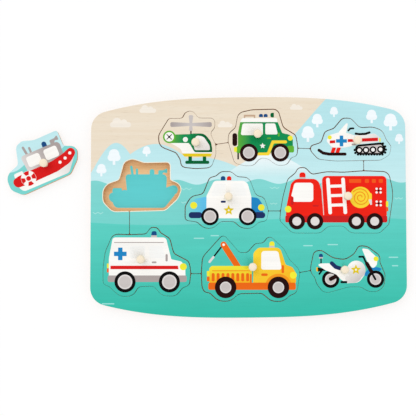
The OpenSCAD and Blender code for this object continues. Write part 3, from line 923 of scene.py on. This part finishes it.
def sawn_sheet(shell, loops, low, high, low_r, high_r, face, shapes=(), bore=None,
               bare_at=nowhere, bare_r=0.0):
    """Sheet of wood between two heights inside its outer line and outside its holes, with rounded rims, bare
    along the wall. Shapes are printed on its upper face, and a bore (x, y, radius, floor) is sunk in it.
    Where bare_at gives 1 for a point of a line, the upper rim has the radius bare_r and isn't printed."""
    walls = []
    for loop in loops:
        share = bare_at(loop)
        inset, height = rim_profile(low, high, low_r, high_r + (bare_r - high_r) * share)
        strips = [UNDER, *[RIM] * (RIM_STEPS - 1), WALL, WALL]
        strips = [(f, f, False) for f in strips] + [(face, RIM, share > 0.5)] * (RIM_STEPS - 1)
        walls.append(carried(loop, inset, height))
        shell.grid(walls[-1], strips)
    upper = [rows[-1, :, :2] for rows in walls]
    lower = [rows[0, :, :2] for rows in walls]
    if bore:
        x, y, r, floor = bore
        mouth = disc(x, y, r)[::-1]
        upper.append(mouth)
        rows = [np.column_stack([mouth, np.full(len(mouth), z)]) for z in (floor, high)]
        middle = np.broadcast_to([x, y, floor], rows[0].shape)
        shell.grid(np.stack([middle, *rows]), [(WALL, WALL, False)] * 2)
    shell.cap(upper, high, face, shapes)
    shell.cap(lower, low, UNDER, facing=-1)


# Bounds of the open cut-out, the corner that they leave out, and the points over which its rim eases
OPEN_X = (-142, -63.5)
OPEN_Y = (-4.6, 46)
OPEN_CORNER = (-73, 30)
OPEN_EASE = range(-2, 3)


def open_recess(loop):
    """Share of bare rim along a line of the frame: 1 round the cut-out that lies open, eased at its ends."""
    x, y = loop.T
    inside = (x > OPEN_X[0]) & (x < OPEN_X[1]) & (y > OPEN_Y[0]) & (y < OPEN_Y[1])
    inside &= (x < OPEN_CORNER[0]) | (y < OPEN_CORNER[1])
    return sum(np.roll(inside.astype(float), k) for k in OPEN_EASE) / len(OPEN_EASE)


def settle(piece, home):
    """Writes each point's place on the whole board, in metres, to the attribute that the finishes read."""
    mesh = piece.data
    at = np.zeros(len(mesh.vertices) * 3, np.float32)
    mesh.vertices.foreach_get("co", at)
    place = home(at.reshape(-1, 3).astype(float)).astype(np.float32)
    mesh.attributes.new("home", "FLOAT_VECTOR", "POINT").data.foreach_set("vector", place.ravel())


def fasten(piece, body, node):
    """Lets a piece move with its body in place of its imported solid."""
    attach(piece, body)
    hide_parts(node)


# Finishes

# Places of the nodes in the editor: columns, and the steps from one to the next
NODE_COLUMNS = 7
NODE_STEP = (200, -260)
# Range that most of a noise lies in
NOISE = (0.3, 0.7)
# Waves a metre of the broad streaks along the sheet
STREAKS = (7, 170, 170)
# Dark browns of pores and of glue lines
PORE_BROWN = (0.12, 0.05, 0.02)
GLUE_BROWN = (0.16, 0.07, 0.025)
# Depth of the finest relief, and half the width of the edge of a printed field, in metres
RELIEF = 0.0002
FIELD_EDGE = 0.0002
# Sockets of every group that gives a whole finish
FINISH_SOCKETS = [("Colour", "colour"), ("Roughness", "value"), ("Height", "value")]


class Wiring:
    """Adds nodes to one tree and returns their outputs. A value is a number, a colour or a node's output."""

    def __init__(self, tree):
        self.tree = tree
        self.made = 0

    def node(self, kind, values=None, **settings):
        """Adds a node, with its settings and its inputs."""
        new = self.tree.nodes.new(kind)
        row, column = divmod(self.made, NODE_COLUMNS)
        new.location = (NODE_STEP[0] * column, NODE_STEP[1] * row)
        self.made += 1
        for key, value in settings.items():
            setattr(new, key, value)
        for key, value in (values or {}).items():
            self.feed(new.inputs[key], value)
        return new

    def feed(self, socket, value):
        """Links an output to a socket, or sets the socket's own value."""
        if isinstance(value, bpy.types.NodeSocket):
            self.tree.links.new(value, socket)
        elif socket.type == "RGBA" and len(value) == 3:
            socket.default_value = (*value, 1)
        else:
            socket.default_value = value

    def math(self, operation, *values):
        """One operation on numbers."""
        return self.node("ShaderNodeMath", dict(enumerate(values)), operation=operation).outputs[0]

    def mix(self, factor, first, second):
        """Colour from the first at 0 to the second at 1."""
        new = self.node("ShaderNodeMix", {0: factor, 6: first, 7: second}, data_type="RGBA")
        return new.outputs[2]

    def ramp(self, value, low, high, to_low=0.0, to_high=1.0):
        """One range carried over to another in a straight line, held at its ends."""
        values = {0: value, 1: low, 2: high, 3: to_low, 4: to_high}
        return self.node("ShaderNodeMapRange", values, clamp=True).outputs[0]

    def spread(self, noise, to_low, to_high):
        """Noise carried over to a range of its own."""
        return self.ramp(noise, *NOISE, to_low, to_high)

    def share(self, first, second, part):
        """A part of the first value and the rest of the second."""
        return self.math("ADD", self.math("MULTIPLY", first, part), self.math("MULTIPLY", second, 1 - part))

    def split(self, vector):
        """The x, y and z of a vector."""
        return self.node("ShaderNodeSeparateXYZ", {0: vector}).outputs

    def noise(self, place, stretch, detail=3.0, rough=0.55):
        """Noise that varies by so many waves a metre along each axis."""
        spread = self.node("ShaderNodeVectorMath", {0: place, 1: stretch}, operation="MULTIPLY").outputs[0]
        values = {"Vector": spread, "Scale": 1.0, "Detail": detail, "Roughness": rough}
        return self.node("ShaderNodeTexNoise", values).outputs["Fac"]

    def group(self, name, values):
        """Places a group with its own values."""
        new = self.node("ShaderNodeGroup", node_tree=bpy.data.node_groups[name])
        for key, value in values.items():
            self.feed(new.inputs[key], value)
        return new.outputs


def new_group(name, inputs, outputs):
    """An empty shader group with named sockets, and the wiring, inputs and outputs to fill it."""
    tree = bpy.data.node_groups.new(name, "ShaderNodeTree")
    kinds = {"vector": "NodeSocketVector", "colour": "NodeSocketColor", "value": "NodeSocketFloat"}
    for label, kind in inputs:
        tree.interface.new_socket(label, in_out="INPUT", socket_type=kinds[kind])
    for label, kind in outputs:
        tree.interface.new_socket(label, in_out="OUTPUT", socket_type=kinds[kind])
    wiring = Wiring(tree)
    source = wiring.node("NodeGroupInput").outputs
    sink = wiring.node("NodeGroupOutput").inputs
    return wiring, source, sink


def make_wood_grain():
    """Grain along X: broad streaks, fine fibres and scattered pores."""
    w, source, sink = new_group(
        "wood_grain",
        [("Place", "vector"), ("Pale", "colour"), ("Grain", "colour")],
        FINISH_SOCKETS,
    )
    streak = w.noise(source["Place"], STREAKS, 4.0, 0.6)
    fibre = w.noise(source["Place"], (60, 1900, 1900), 2.0)
    pore = w.ramp(w.noise(source["Place"], (90, 1500, 1500), 1.0), 0.66, 0.76)
    figure = w.share(streak, fibre, 0.65)
    grained = w.ramp(figure, 0.38, 0.66)
    tone = w.mix(grained, source["Pale"], source["Grain"])
    dark = w.mix(0.55, source["Grain"], PORE_BROWN)
    w.feed(sink["Colour"], w.mix(w.math("MULTIPLY", pore, 0.35), tone, dark))
    w.feed(sink["Roughness"], w.spread(fibre, 0.48, 0.64))
    w.feed(sink["Height"], w.math("SUBTRACT", figure, w.math("MULTIPLY", pore, 0.4)))


def make_print_film():
    """Ink on wood: the grain shows through as faint streaks, and the film's gloss follows it."""
    w, source, sink = new_group(
        "print_film",
        [("Place", "vector"), ("Ink", "colour")],
        FINISH_SOCKETS,
    )
    streak = w.noise(source["Place"], STREAKS, 4.0, 0.6)
    fibre = w.noise(source["Place"], (50, 1300, 1300), 2.0)
    cloudy = w.noise(source["Place"], (25, 40, 40), 2.0)
    shade = w.math("ADD", w.spread(streak, 0.955, 1.015), w.spread(fibre, -0.018, 0.018))
    shade = w.math("ADD", shade, w.spread(cloudy, -0.012, 0.012))
    toned = w.node("ShaderNodeVectorMath", {0: source["Ink"], "Scale": shade}, operation="SCALE").outputs[0]
    w.feed(sink["Colour"], toned)
    w.feed(sink["Roughness"], w.spread(fibre, 0.36, 0.5))
    w.feed(sink["Height"], w.share(streak, fibre, 0.5))


def make_ply_layers():
    """Sawn edge of plywood: pale and dark plies in turn, dark glue lines between them, and saw streaks."""
    w, source, sink = new_group(
        "ply_layers",
        [("Place", "vector"), ("Pitch", "value"), ("Pale", "colour"), ("Core", "colour")],
        FINISH_SOCKETS,
    )
    z = w.split(source["Place"])[2]
    wander = w.noise(source["Place"], (60, 60, 60), 2.0)
    level = w.math("ADD", w.math("DIVIDE", z, source["Pitch"]), w.spread(wander, -0.12, 0.12))
    odd = w.math("GREATER_THAN", w.math("FRACT", w.math("MULTIPLY", level, 0.5)), 0.5)
    seam = w.ramp(w.math("PINGPONG", level, 0.5), 0.0, 0.09, 1.0, 0.0)
    fibre = w.noise(source["Place"], (900, 900, 2600), 2.0)
    tone = w.mix(odd, source["Pale"], source["Core"])
    tone = w.mix(w.ramp(fibre, 0.35, 0.7, 0.0, 0.45), tone, source["Core"])
    tone = w.mix(w.math("MULTIPLY", seam, 0.5), tone, GLUE_BROWN)
    w.feed(sink["Colour"], tone)
    w.feed(sink["Roughness"], w.spread(fibre, 0.55, 0.75))
    w.feed(sink["Height"], w.math("SUBTRACT", fibre, w.math("MULTIPLY", seam, 0.6)))


def make_hill_line():
    """Mask of what lies under a bell-shaped hill: foot + rise * exp(-((x - middle) / reach)^2)."""
    w, source, sink = new_group(
        "hill_line",
        [("Place", "vector"), ("Middle", "value"), ("Reach", "value"), ("Foot", "value"), ("Rise", "value")],
        [("Mask", "value")],
    )
    x, y, _ = w.split(source["Place"])
    off = w.math("DIVIDE", w.math("SUBTRACT", x, source["Middle"]), source["Reach"])
    bell = w.math("EXPONENT", w.math("MULTIPLY", w.math("MULTIPLY", off, off), -1.0))
    edge = w.math("ADD", source["Foot"], w.math("MULTIPLY", source["Rise"], bell))
    w.feed(sink["Mask"], w.ramp(w.math("SUBTRACT", edge, y), -FIELD_EDGE, FIELD_EDGE))


def make_shore_line():
    """Mask of what lies under a gently waved line: level + slope * x + swell * sin(x / wave)."""
    w, source, sink = new_group(
        "shore_line",
        [("Place", "vector"), ("Level", "value"), ("Slope", "value"), ("Swell", "value"), ("Wave", "value")],
        [("Mask", "value")],
    )
    x, y, _ = w.split(source["Place"])
    wave = w.math("MULTIPLY", source["Swell"], w.math("SINE", w.math("DIVIDE", x, source["Wave"])))
    edge = w.math("ADD", w.math("ADD", source["Level"], w.math("MULTIPLY", x, source["Slope"])), wave)
    w.feed(sink["Mask"], w.ramp(w.math("SUBTRACT", edge, y), -FIELD_EDGE, FIELD_EDGE))


# Hills of the printed landscape in metres: middle, reach, foot and rise
HILLS = [
    (-0.126, 0.030, 0.0, 0.061), (-0.088, 0.058, 0.0, 0.060),
    (-0.045, 0.075, 0.0, 0.047), (0.126, 0.100, 0.0, 0.135),
]
SNOW_HILL = (0.020, 0.060, 0.0, 0.050)
# Waved lines of the printed landscape: level, slope, swell and wave
SHORE = (0.024, 0.01, 0.0024, 0.0062)
ROADSIDE = (-0.0135, -0.012, 0.005, 0.062)
# Heights on the board between which each field runs from its first tone to its second
HILL_FADE = (0.075, 0.02)
SNOW_FADE = (0.052, 0.028)
SEA_FADE = (0.03, -0.02)
GROUND_FADE = (-0.01, -0.1)


def make_landscape():
    """Printed landscape from far to near: hills, a snow field, water and the near ground. Inked is 0 where
    the wood is left bare as sky."""
    w, source, sink = new_group(
        "landscape",
        [("Place", "vector"), *[(n, "colour") for n in ("Hill", "Slope", "Snow", "Sea", "Ground", "Deep")]],
        [("Colour", "colour"), ("Inked", "value")],
    )
    y = w.split(source["Place"])[1]
    place = source["Place"]

    def under(line, sizes, labels):
        return w.group(line, {"Place": place, **dict(zip(labels, sizes))})["Mask"]

    hill_labels = ("Middle", "Reach", "Foot", "Rise")
    shore_labels = ("Level", "Slope", "Swell", "Wave")
    hills = [under("hill_line", h, hill_labels) for h in HILLS]
    snow = under("hill_line", SNOW_HILL, hill_labels)
    shore = under("shore_line", SHORE, shore_labels)
    near = under("shore_line", ROADSIDE, shore_labels)
    shallow = w.mix(0.4, source["Sea"], source["Ground"])
    tone = w.mix(w.ramp(y, *HILL_FADE), source["Hill"], source["Slope"])
    tone = w.mix(snow, tone, w.mix(w.ramp(y, *SNOW_FADE), source["Snow"], source["Slope"]))
    tone = w.mix(shore, tone, w.mix(w.ramp(y, *SEA_FADE), source["Sea"], shallow))
    tone = w.mix(near, tone, w.mix(w.ramp(y, *GROUND_FADE), source["Ground"], source["Deep"]))
    inked = snow
    for mask in (*hills, shore, near):
        inked = w.math("MAXIMUM", inked, mask)
    w.feed(sink["Colour"], tone)
    w.feed(sink["Inked"], inked)


def new_material(name, bump, gloss=0.25):
    """A material whose shader takes its normal from a bump, with the wiring, place and sockets to fill it."""
    material = bpy.data.materials.new(name)
    material.use_nodes = True
    tree = material.node_tree
    tree.nodes.clear()
    w = Wiring(tree)
    place = w.node("ShaderNodeAttribute", attribute_name="home", attribute_type="GEOMETRY").outputs["Vector"]
    shader = w.node("ShaderNodeBsdfPrincipled", {"Specular IOR Level": gloss})
    relief = w.node("ShaderNodeBump", {"Strength": bump, "Distance": RELIEF})
    w.feed(shader.inputs["Normal"], relief.outputs["Normal"])
    out = w.node("ShaderNodeOutputMaterial")
    w.feed(out.inputs["Surface"], shader.outputs["BSDF"])
    return material, w, place, shader.inputs, relief.inputs["Height"]


def finish_from(w, outputs, shader, height):
    """Wires a finish group's colour, roughness and height to the shader."""
    w.feed(shader["Base Color"], outputs["Colour"])
    w.feed(shader["Roughness"], outputs["Roughness"])
    w.feed(height, outputs["Height"])


def wood_material(name, pale, grain):
    """Bare wood, sanded."""
    material, w, place, shader, height = new_material(name, bump=0.25)
    finish_from(w, w.group("wood_grain", {"Place": place, "Pale": pale, "Grain": grain}), shader, height)
    return material


def ply_material(name, pale, core, pitch):
    """Sawn plies of the given thickness."""
    material, w, place, shader, height = new_material(name, bump=0.5)
    values = {"Place": place, "Pitch": pitch, "Pale": pale, "Core": core}
    finish_from(w, w.group("ply_layers", values), shader, height)
    return material


def ink_material(name, inks):
    """One ink, or two that run into each other along the line between two places."""
    material, w, place, shader, height = new_material(name, bump=0.12, gloss=0.05)
    if name in INK_BLENDS:
        first, second, start, end = INK_BLENDS[name]
        start, end = np.array(start) * MM, np.array(end) * MM
        run = (end - start) / ((end - start) ** 2).sum()
        off = w.node("ShaderNodeVectorMath", {0: place, 1: (*start, 0)}, operation="SUBTRACT").outputs[0]
        along = w.node("ShaderNodeVectorMath", {0: off, 1: (*run, 0)}, operation="DOT_PRODUCT")
        part = w.ramp(along.outputs["Value"], 0.0, 1.0)
        ink = w.mix(part, tuple(getattr(inks, first)), tuple(getattr(inks, second)))
    else:
        ink = tuple(getattr(inks, name))
    finish_from(w, w.group("print_film", {"Place": place, "Ink": ink}), shader, height)
    return material


def landscape_material(land, wood):
    """The printed landscape over bare wood."""
    material, w, place, shader, height = new_material("landscape", bump=0.14, gloss=0.12)
    names = ("hill", "slope", "snow", "sea", "ground", "deep")
    scene = w.group("landscape", {"Place": place, **{n.capitalize(): tuple(getattr(land, n)) for n in names}})
    film = w.group("print_film", {"Place": place, "Ink": scene["Colour"]})
    bare = w.group("wood_grain", {"Place": place, "Pale": tuple(wood.sky), "Grain": tuple(wood.sky_grain)})
    w.feed(shader["Base Color"], w.mix(scene["Inked"], bare["Colour"], film["Colour"]))
    w.feed(shader["Roughness"], film["Roughness"])
    w.feed(height, film["Height"])
    return material


def peg_material(wood):
    """Turned wood: growth rings about an axis beside the peg's own, fibres along it, faint turning lines."""
    material, w, place, shader, height = new_material("turned_wood", bump=0.2)
    x, y, _ = w.split(place)
    off = w.noise(place, (160, 160, 40), 2.0)
    out = w.math("SQRT", w.math("ADD", w.math("MULTIPLY", x, x), w.math("MULTIPLY", y, y)))
    ring = w.math("SINE", w.math("ADD", w.math("MULTIPLY", out, 5200.0), w.math("MULTIPLY", off, 9.0)))
    fibre = w.noise(place, (2400, 2400, 90), 2.0)
    lines = w.noise(place, (40, 40, 3600), 1.0)
    grained = w.math("ADD", w.ramp(ring, -0.4, 1.0, 0.0, 0.55), w.ramp(fibre, 0.4, 0.75, 0.0, 0.45))
    w.feed(shader["Base Color"], w.mix(grained, tuple(wood.peg), tuple(wood.peg_grain)))
    w.feed(shader["Roughness"], w.spread(fibre, 0.4, 0.56))
    w.feed(height, w.share(lines, fibre, 0.6))
    return material


GROUP_MAKERS = (
    make_wood_grain, make_print_film, make_ply_layers, make_hill_line, make_shore_line, make_landscape,
)


class Finishes(dict):
    """Materials by name, each made when it is first asked for."""

    def __init__(self, settings):
        super().__init__()
        self.settings = settings

    def __missing__(self, name):
        if not bpy.data.node_groups.get("landscape"):
            for make in GROUP_MAKERS:
                make()
        kept = bpy.data.materials.get(name)
        if kept:
            return kept
        wood, sizes = self.settings.wood, self.settings.sizes
        if name == "landscape":
            made = landscape_material(self.settings.landscape, wood)
        elif name == "rim_wood":
            made = wood_material(name, tuple(wood.rim), tuple(wood.rim_grain))
        elif name == "back_wood":
            made = wood_material(name, tuple(wood.floor), tuple(wood.floor_grain))
        elif name == "ply_edge":
            made = ply_material(name, tuple(wood.ply), tuple(wood.core), sizes.ply_t)
        elif name == "turned_wood":
            made = peg_material(wood)
        else:
            made = ink_material(name, self.settings.inks)
        self[name] = made
        return made


# Operators

def millimetres(node):
    """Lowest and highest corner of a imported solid, in millimetres."""
    low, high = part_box(node)
    return np.array(low) / MM, np.array(high) / MM


def smooth_loops(node, z, sizes):
    """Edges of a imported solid's flat face with even points and smoothed chords."""
    return [even(loop, sizes.step / MM, sizes.soften / MM) for loop in face_loops(node, z)]


def on_board(points):
    """Home of the points of a sheet that lies where it was printed."""
    return points


def seat(shell, name, node, settings, home=on_board):
    """Makes the piece of a shell, gives its points their home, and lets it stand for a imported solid."""
    piece = shell.piece(name, Finishes(settings))
    settle(piece, home)
    fasten(piece, frame["nodes"][node]["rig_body"], node)


class PEGPUZZLE_OT_backing(bpy.types.Operator):
    """Builds the backing: a thin sheet whose top shows a flat figure on the floor of every cut-out"""

    bl_idname = "peg_puzzle.backing"
    bl_label = "Backing board"

    def execute(self, context):
        settings = context.scene.peg_puzzle
        sizes = settings.sizes
        low, high = millimetres("backing_board")
        loops = smooth_loops("backing_board", high[2] * MM, sizes)
        figures = [("recess", shape) for v in VEHICLES for _, shape in printed(v)]
        shell = Shell(["back_wood"])
        sawn_sheet(
            shell, loops, low[2], high[2], sizes.foot_r / MM, sizes.seam_r / MM, "back_wood", figures,
        )
        seat(shell, "backing", "backing_board", settings)
        return {"FINISHED"}


class PEGPUZZLE_OT_frame(bpy.types.Operator):
    """Builds the frame: the printed sheet with its nine cut-outs and the saw cuts between them"""

    bl_idname = "peg_puzzle.frame"
    bl_label = "Frame board"

    def execute(self, context):
        settings = context.scene.peg_puzzle
        sizes = settings.sizes
        low, high = millimetres("frame_board")
        loops = smooth_loops("frame_board", high[2] * MM, sizes)
        shell = Shell(["landscape"])
        sawn_sheet(
            shell, loops, low[2], high[2], sizes.seam_r / MM, sizes.rim_r / MM, "landscape",
            landscape_marks(), bare_at=open_recess, bare_r=sizes.open_r / MM,
        )
        seat(shell, "frame", "frame_board", settings)
        return {"FINISHED"}


# Room round a tenon and below it, in millimetres
BORE_SLACK = 0.05
BORE_DEEPER = 0.2


class PEGPUZZLE_OT_pieces(bpy.types.Operator):
    """Builds the nine sawn pieces, each printed with its vehicle and bored for its peg"""

    bl_idname = "peg_puzzle.pieces"
    bl_label = "Printed pieces"

    def execute(self, context):
        settings = context.scene.peg_puzzle
        sizes = settings.sizes
        board_low = millimetres("frame_board")[0]
        for vehicle in VEHICLES:
            low, high = millimetres(vehicle)
            peg_low, peg_high = millimetres(vehicle + "_peg")
            peg_at = (peg_low + peg_high)[:2] / 2
            turn, home_at = 0.0, peg_at
            if vehicle == "rescue_boat":
                turn, home_at = sizes.boat_turn, np.array(sizes.boat_home) / MM
            c, s = math.cos(turn), math.sin(turn)
            spin = np.array([[c, -s], [s, c]])
            shapes = [(ink, (shape - home_at) @ spin.T + peg_at) for ink, shape in printed(vehicle)]
            loops = smooth_loops(vehicle, high[2] * MM, sizes)[:1]
            bore = (*peg_at, sizes.tenon_d / 2 / MM + BORE_SLACK, peg_low[2] - BORE_DEEPER)
            shell = Shell(["landscape"])
            sawn_sheet(
                shell, loops, low[2], high[2], sizes.back_r / MM, sizes.rim_r / MM, "landscape", shapes, bore,
            )
            raised = board_low[2] - low[2]

            def home(at, spin=spin, peg_at=peg_at, home_at=home_at, raised=raised):
                flat = (at[:, :2] - peg_at * MM) @ spin + home_at * MM
                return np.column_stack([flat, at[:, 2] + raised * MM])

            seat(shell, vehicle + "_piece", vehicle, settings, home)
        return {"FINISHED"}


# Points round a peg, along each of its curves and along the eased edge of its foot
PEG_TURNS = 48
PEG_STEPS = 12
EASE_STEPS = 5
# Power of the dome's superellipse
DOME_POWER = 2.8
# Radius of the foot's eased edge, flat ring inside it, and chamfer of the tenon, in millimetres
FOOT_EASE = 0.25
FOOT_RING = 0.1
TENON_CHAMFER = 0.3
# Distance of the growth rings' heart from a peg's axis, and step along the grain from one peg to the next
HEART_OFF = 2.2
HEART_STEP = 17.0


def swell(r_from, z_from, r_to, z_to):
    """Smooth change of radius from one height to another, as half a cosine wave."""
    t = np.linspace(0, 1, PEG_STEPS)
    return np.stack([r_from + (r_to - r_from) * (1 - np.cos(np.pi * t)) / 2, z_from + (z_to - z_from) * t], 1)


def peg_section(foot_z, tenon_z, top_z, head_r, sizes):
    """Half section of a peg from the middle of its tenon to its crown: tenon, foot band, waist, head and
    dome, a quarter of a superellipse."""
    foot_r, waist_r = sizes.peg_foot_d / 2 / MM, sizes.peg_waist_d / 2 / MM
    tenon_r = sizes.tenon_d / 2 / MM
    band_z, waist_z = foot_z + sizes.peg_foot_t / MM, foot_z + sizes.peg_waist_up / MM
    neck_z = top_z - sizes.peg_dome_h / MM
    turn = np.linspace(0, np.pi / 2, EASE_STEPS)
    edge = [foot_r - FOOT_EASE * (1 - np.sin(turn)), foot_z + FOOT_EASE * (1 - np.cos(turn))]
    t = np.linspace(0, np.pi / 2, PEG_STEPS)[1:]
    dome_r = head_r * np.cos(t).clip(0) ** (2 / DOME_POWER)
    dome_z = neck_z + (top_z - neck_z) * np.sin(t) ** (2 / DOME_POWER)
    tenon = [
        (0, tenon_z), (tenon_r - TENON_CHAMFER, tenon_z), (tenon_r, tenon_z + TENON_CHAMFER),
        (tenon_r, foot_z), (foot_r - FOOT_EASE - FOOT_RING, foot_z),
    ]
    return np.concatenate([
        tenon,
        np.stack(edge, 1),
        swell(foot_r, band_z, waist_r, waist_z),
        swell(waist_r, waist_z, head_r, neck_z)[1:],
        np.stack([dome_r, dome_z], 1),
    ])


class PEGPUZZLE_OT_pegs(bpy.types.Operator):
    """Builds the nine turned pegs"""

    bl_idname = "peg_puzzle.pegs"
    bl_label = "Turned pegs"

    def execute(self, context):
        settings = context.scene.peg_puzzle
        sizes = settings.sizes
        angle = 2 * np.pi * np.arange(PEG_TURNS) / PEG_TURNS
        ray = np.stack([np.cos(angle), np.sin(angle)], 1)
        for number, vehicle in enumerate(VEHICLES):
            node = vehicle + "_peg"
            low, high = millimetres(node)
            foot_z = millimetres(vehicle)[1][2]
            at = (low + high)[:2] / 2
            section = peg_section(foot_z, low[2], high[2], (high - low)[0] / 2, sizes)
            flat = at + section[:, 0][:, None, None] * ray[None]
            height = np.broadcast_to(section[:, 1][:, None, None], (*flat.shape[:2], 1))
            shell = Shell(["turned_wood"])
            strips = [("turned_wood", "turned_wood", False)] * (len(section) - 1)
            shell.grid(np.concatenate([flat, height], 2), strips)
            beside = HEART_OFF * math.cos(number), HEART_OFF * math.sin(number), HEART_STEP * number
            heart = np.array([*at, foot_z]) + beside

            def home(points, heart=heart):
                return points - heart * MM

            seat(shell, vehicle + "_knob", node, settings, home)
        return {"FINISHED"}


# Gap between the floor and what stands on it, in metres, and width of the camera's sensor in millimetres
FLOOR_GAP = 0.0001
SENSOR_W = 36


def floor_material(stage):
    """Matt pale paint that keeps the shadow, paled by plain white where the camera sees it."""
    paint = bpy.data.materials.new("floor")
    paint.use_nodes = True
    tree = paint.node_tree
    tree.nodes.clear()
    w = Wiring(tree)
    plain = {"Base Color": tuple(stage.floor), "Roughness": 0.9, "Specular IOR Level": 0.0}
    matt = w.node("ShaderNodeBsdfPrincipled", plain)
    white = w.node("ShaderNodeEmission", {"Color": (1, 1, 1), "Strength": 1.0})
    seen = w.node("ShaderNodeLightPath").outputs["Is Camera Ray"]
    both = w.node("ShaderNodeMixShader", {0: w.math("MULTIPLY", seen, stage.floor_pale)})
    w.feed(both.inputs[1], matt.outputs["BSDF"])
    w.feed(both.inputs[2], white.outputs["Emission"])
    out = w.node("ShaderNodeOutputMaterial")
    w.feed(out.inputs["Surface"], both.outputs["Shader"])
    return paint


class PEGPUZZLE_OT_stage(bpy.types.Operator):
    """Sets the pale floor, the soft light and the camera"""

    bl_idname = "peg_puzzle.stage"
    bl_label = "Stage"

    def execute(self, context):
        scene = context.scene
        stage = scene.peg_puzzle.stage
        half = stage.floor_size / 2
        mesh = bpy.data.meshes.new("floor")
        corners = [(-half, -half), (half, -half), (half, half), (-half, half)]
        mesh.from_pydata([(*corner, -FLOOR_GAP) for corner in corners], [], [(0, 1, 2, 3)])
        floor = bpy.data.objects.new("floor", mesh)
        scene.collection.objects.link(floor)
        mesh.materials.append(floor_material(stage))

        world = bpy.data.worlds.new("studio")
        world.use_nodes = True
        background = world.node_tree.nodes["Background"]
        w = Wiring(world.node_tree)
        seen = w.node("ShaderNodeLightPath").outputs["Is Camera Ray"]
        background.inputs["Color"].default_value = (1, 1, 1, 1)
        w.feed(background.inputs["Strength"], w.ramp(seen, 0.0, 1.0, stage.ambient, 1.0))
        scene.world = world

        lamp = bpy.data.lights.new("key", "SUN")
        lamp.energy = stage.key
        lamp.angle = stage.key_spread
        key = bpy.data.objects.new("key", lamp)
        key.location = stage.key_from
        key.rotation_euler = (-Vector(stage.key_from)).to_track_quat("-Z", "Y").to_euler()
        scene.collection.objects.link(key)

        lens = bpy.data.cameras.new("camera")
        lens.sensor_width = SENSOR_W
        lens.lens = stage.lens
        camera = bpy.data.objects.new("camera", lens)
        back = Vector((0, -math.sin(stage.tilt), math.cos(stage.tilt)))
        camera.location = Vector(stage.target) + back * stage.distance
        camera.rotation_euler = Matrix.Rotation(stage.tilt, 3, "X").to_euler()
        scene.collection.objects.link(camera)
        scene.camera = camera
        scene.view_settings.view_transform = "Standard"
        return {"FINISHED"}


class VIEW3D_PT_peg_puzzle(bpy.types.Panel):
    """Lists the steps that build the puzzle, and its settings"""

    bl_label = "Peg Puzzle"
    bl_space_type = "VIEW_3D"
    bl_region_type = "UI"
    bl_category = "Peg Puzzle"

    def draw(self, context):
        settings = context.scene.peg_puzzle
        for operator in OPERATORS:
            self.layout.operator(operator.bl_idname)
        for group in (settings.sizes, settings.wood, settings.landscape, settings.inks, settings.stage):
            column = self.layout.column(heading=group.bl_rna.name)
            for name in group.bl_rna.properties.keys():
                if name not in ("rna_type", "name"):
                    column.prop(group, name)


OPERATORS = (
    PEGPUZZLE_OT_backing, PEGPUZZLE_OT_frame, PEGPUZZLE_OT_pieces, PEGPUZZLE_OT_pegs, PEGPUZZLE_OT_stage,
)
CLASSES = (
    PuzzleInks, PuzzleLandscape, PuzzleWood, PuzzleSizes, PuzzleStage, PuzzleSettings,
    *OPERATORS, VIEW3D_PT_peg_puzzle,
)


def register():
    """Registers the classes and gives the scene its settings."""
    for cls in CLASSES:
        bpy.utils.register_class(cls)
    bpy.types.Scene.peg_puzzle = PointerProperty(type=PuzzleSettings)


def unregister():
    """Takes the settings from the scene and unregisters the classes."""
    del bpy.types.Scene.peg_puzzle
    for cls in reversed(CLASSES):
        bpy.utils.unregister_class(cls)


def main():
    """Builds the puzzle and its stage."""
    register()
    bpy.ops.peg_puzzle.backing()
    bpy.ops.peg_puzzle.frame()
    bpy.ops.peg_puzzle.pieces()
    bpy.ops.peg_puzzle.pegs()
    bpy.ops.peg_puzzle.stage()


if __name__ == "__main__":
    main()
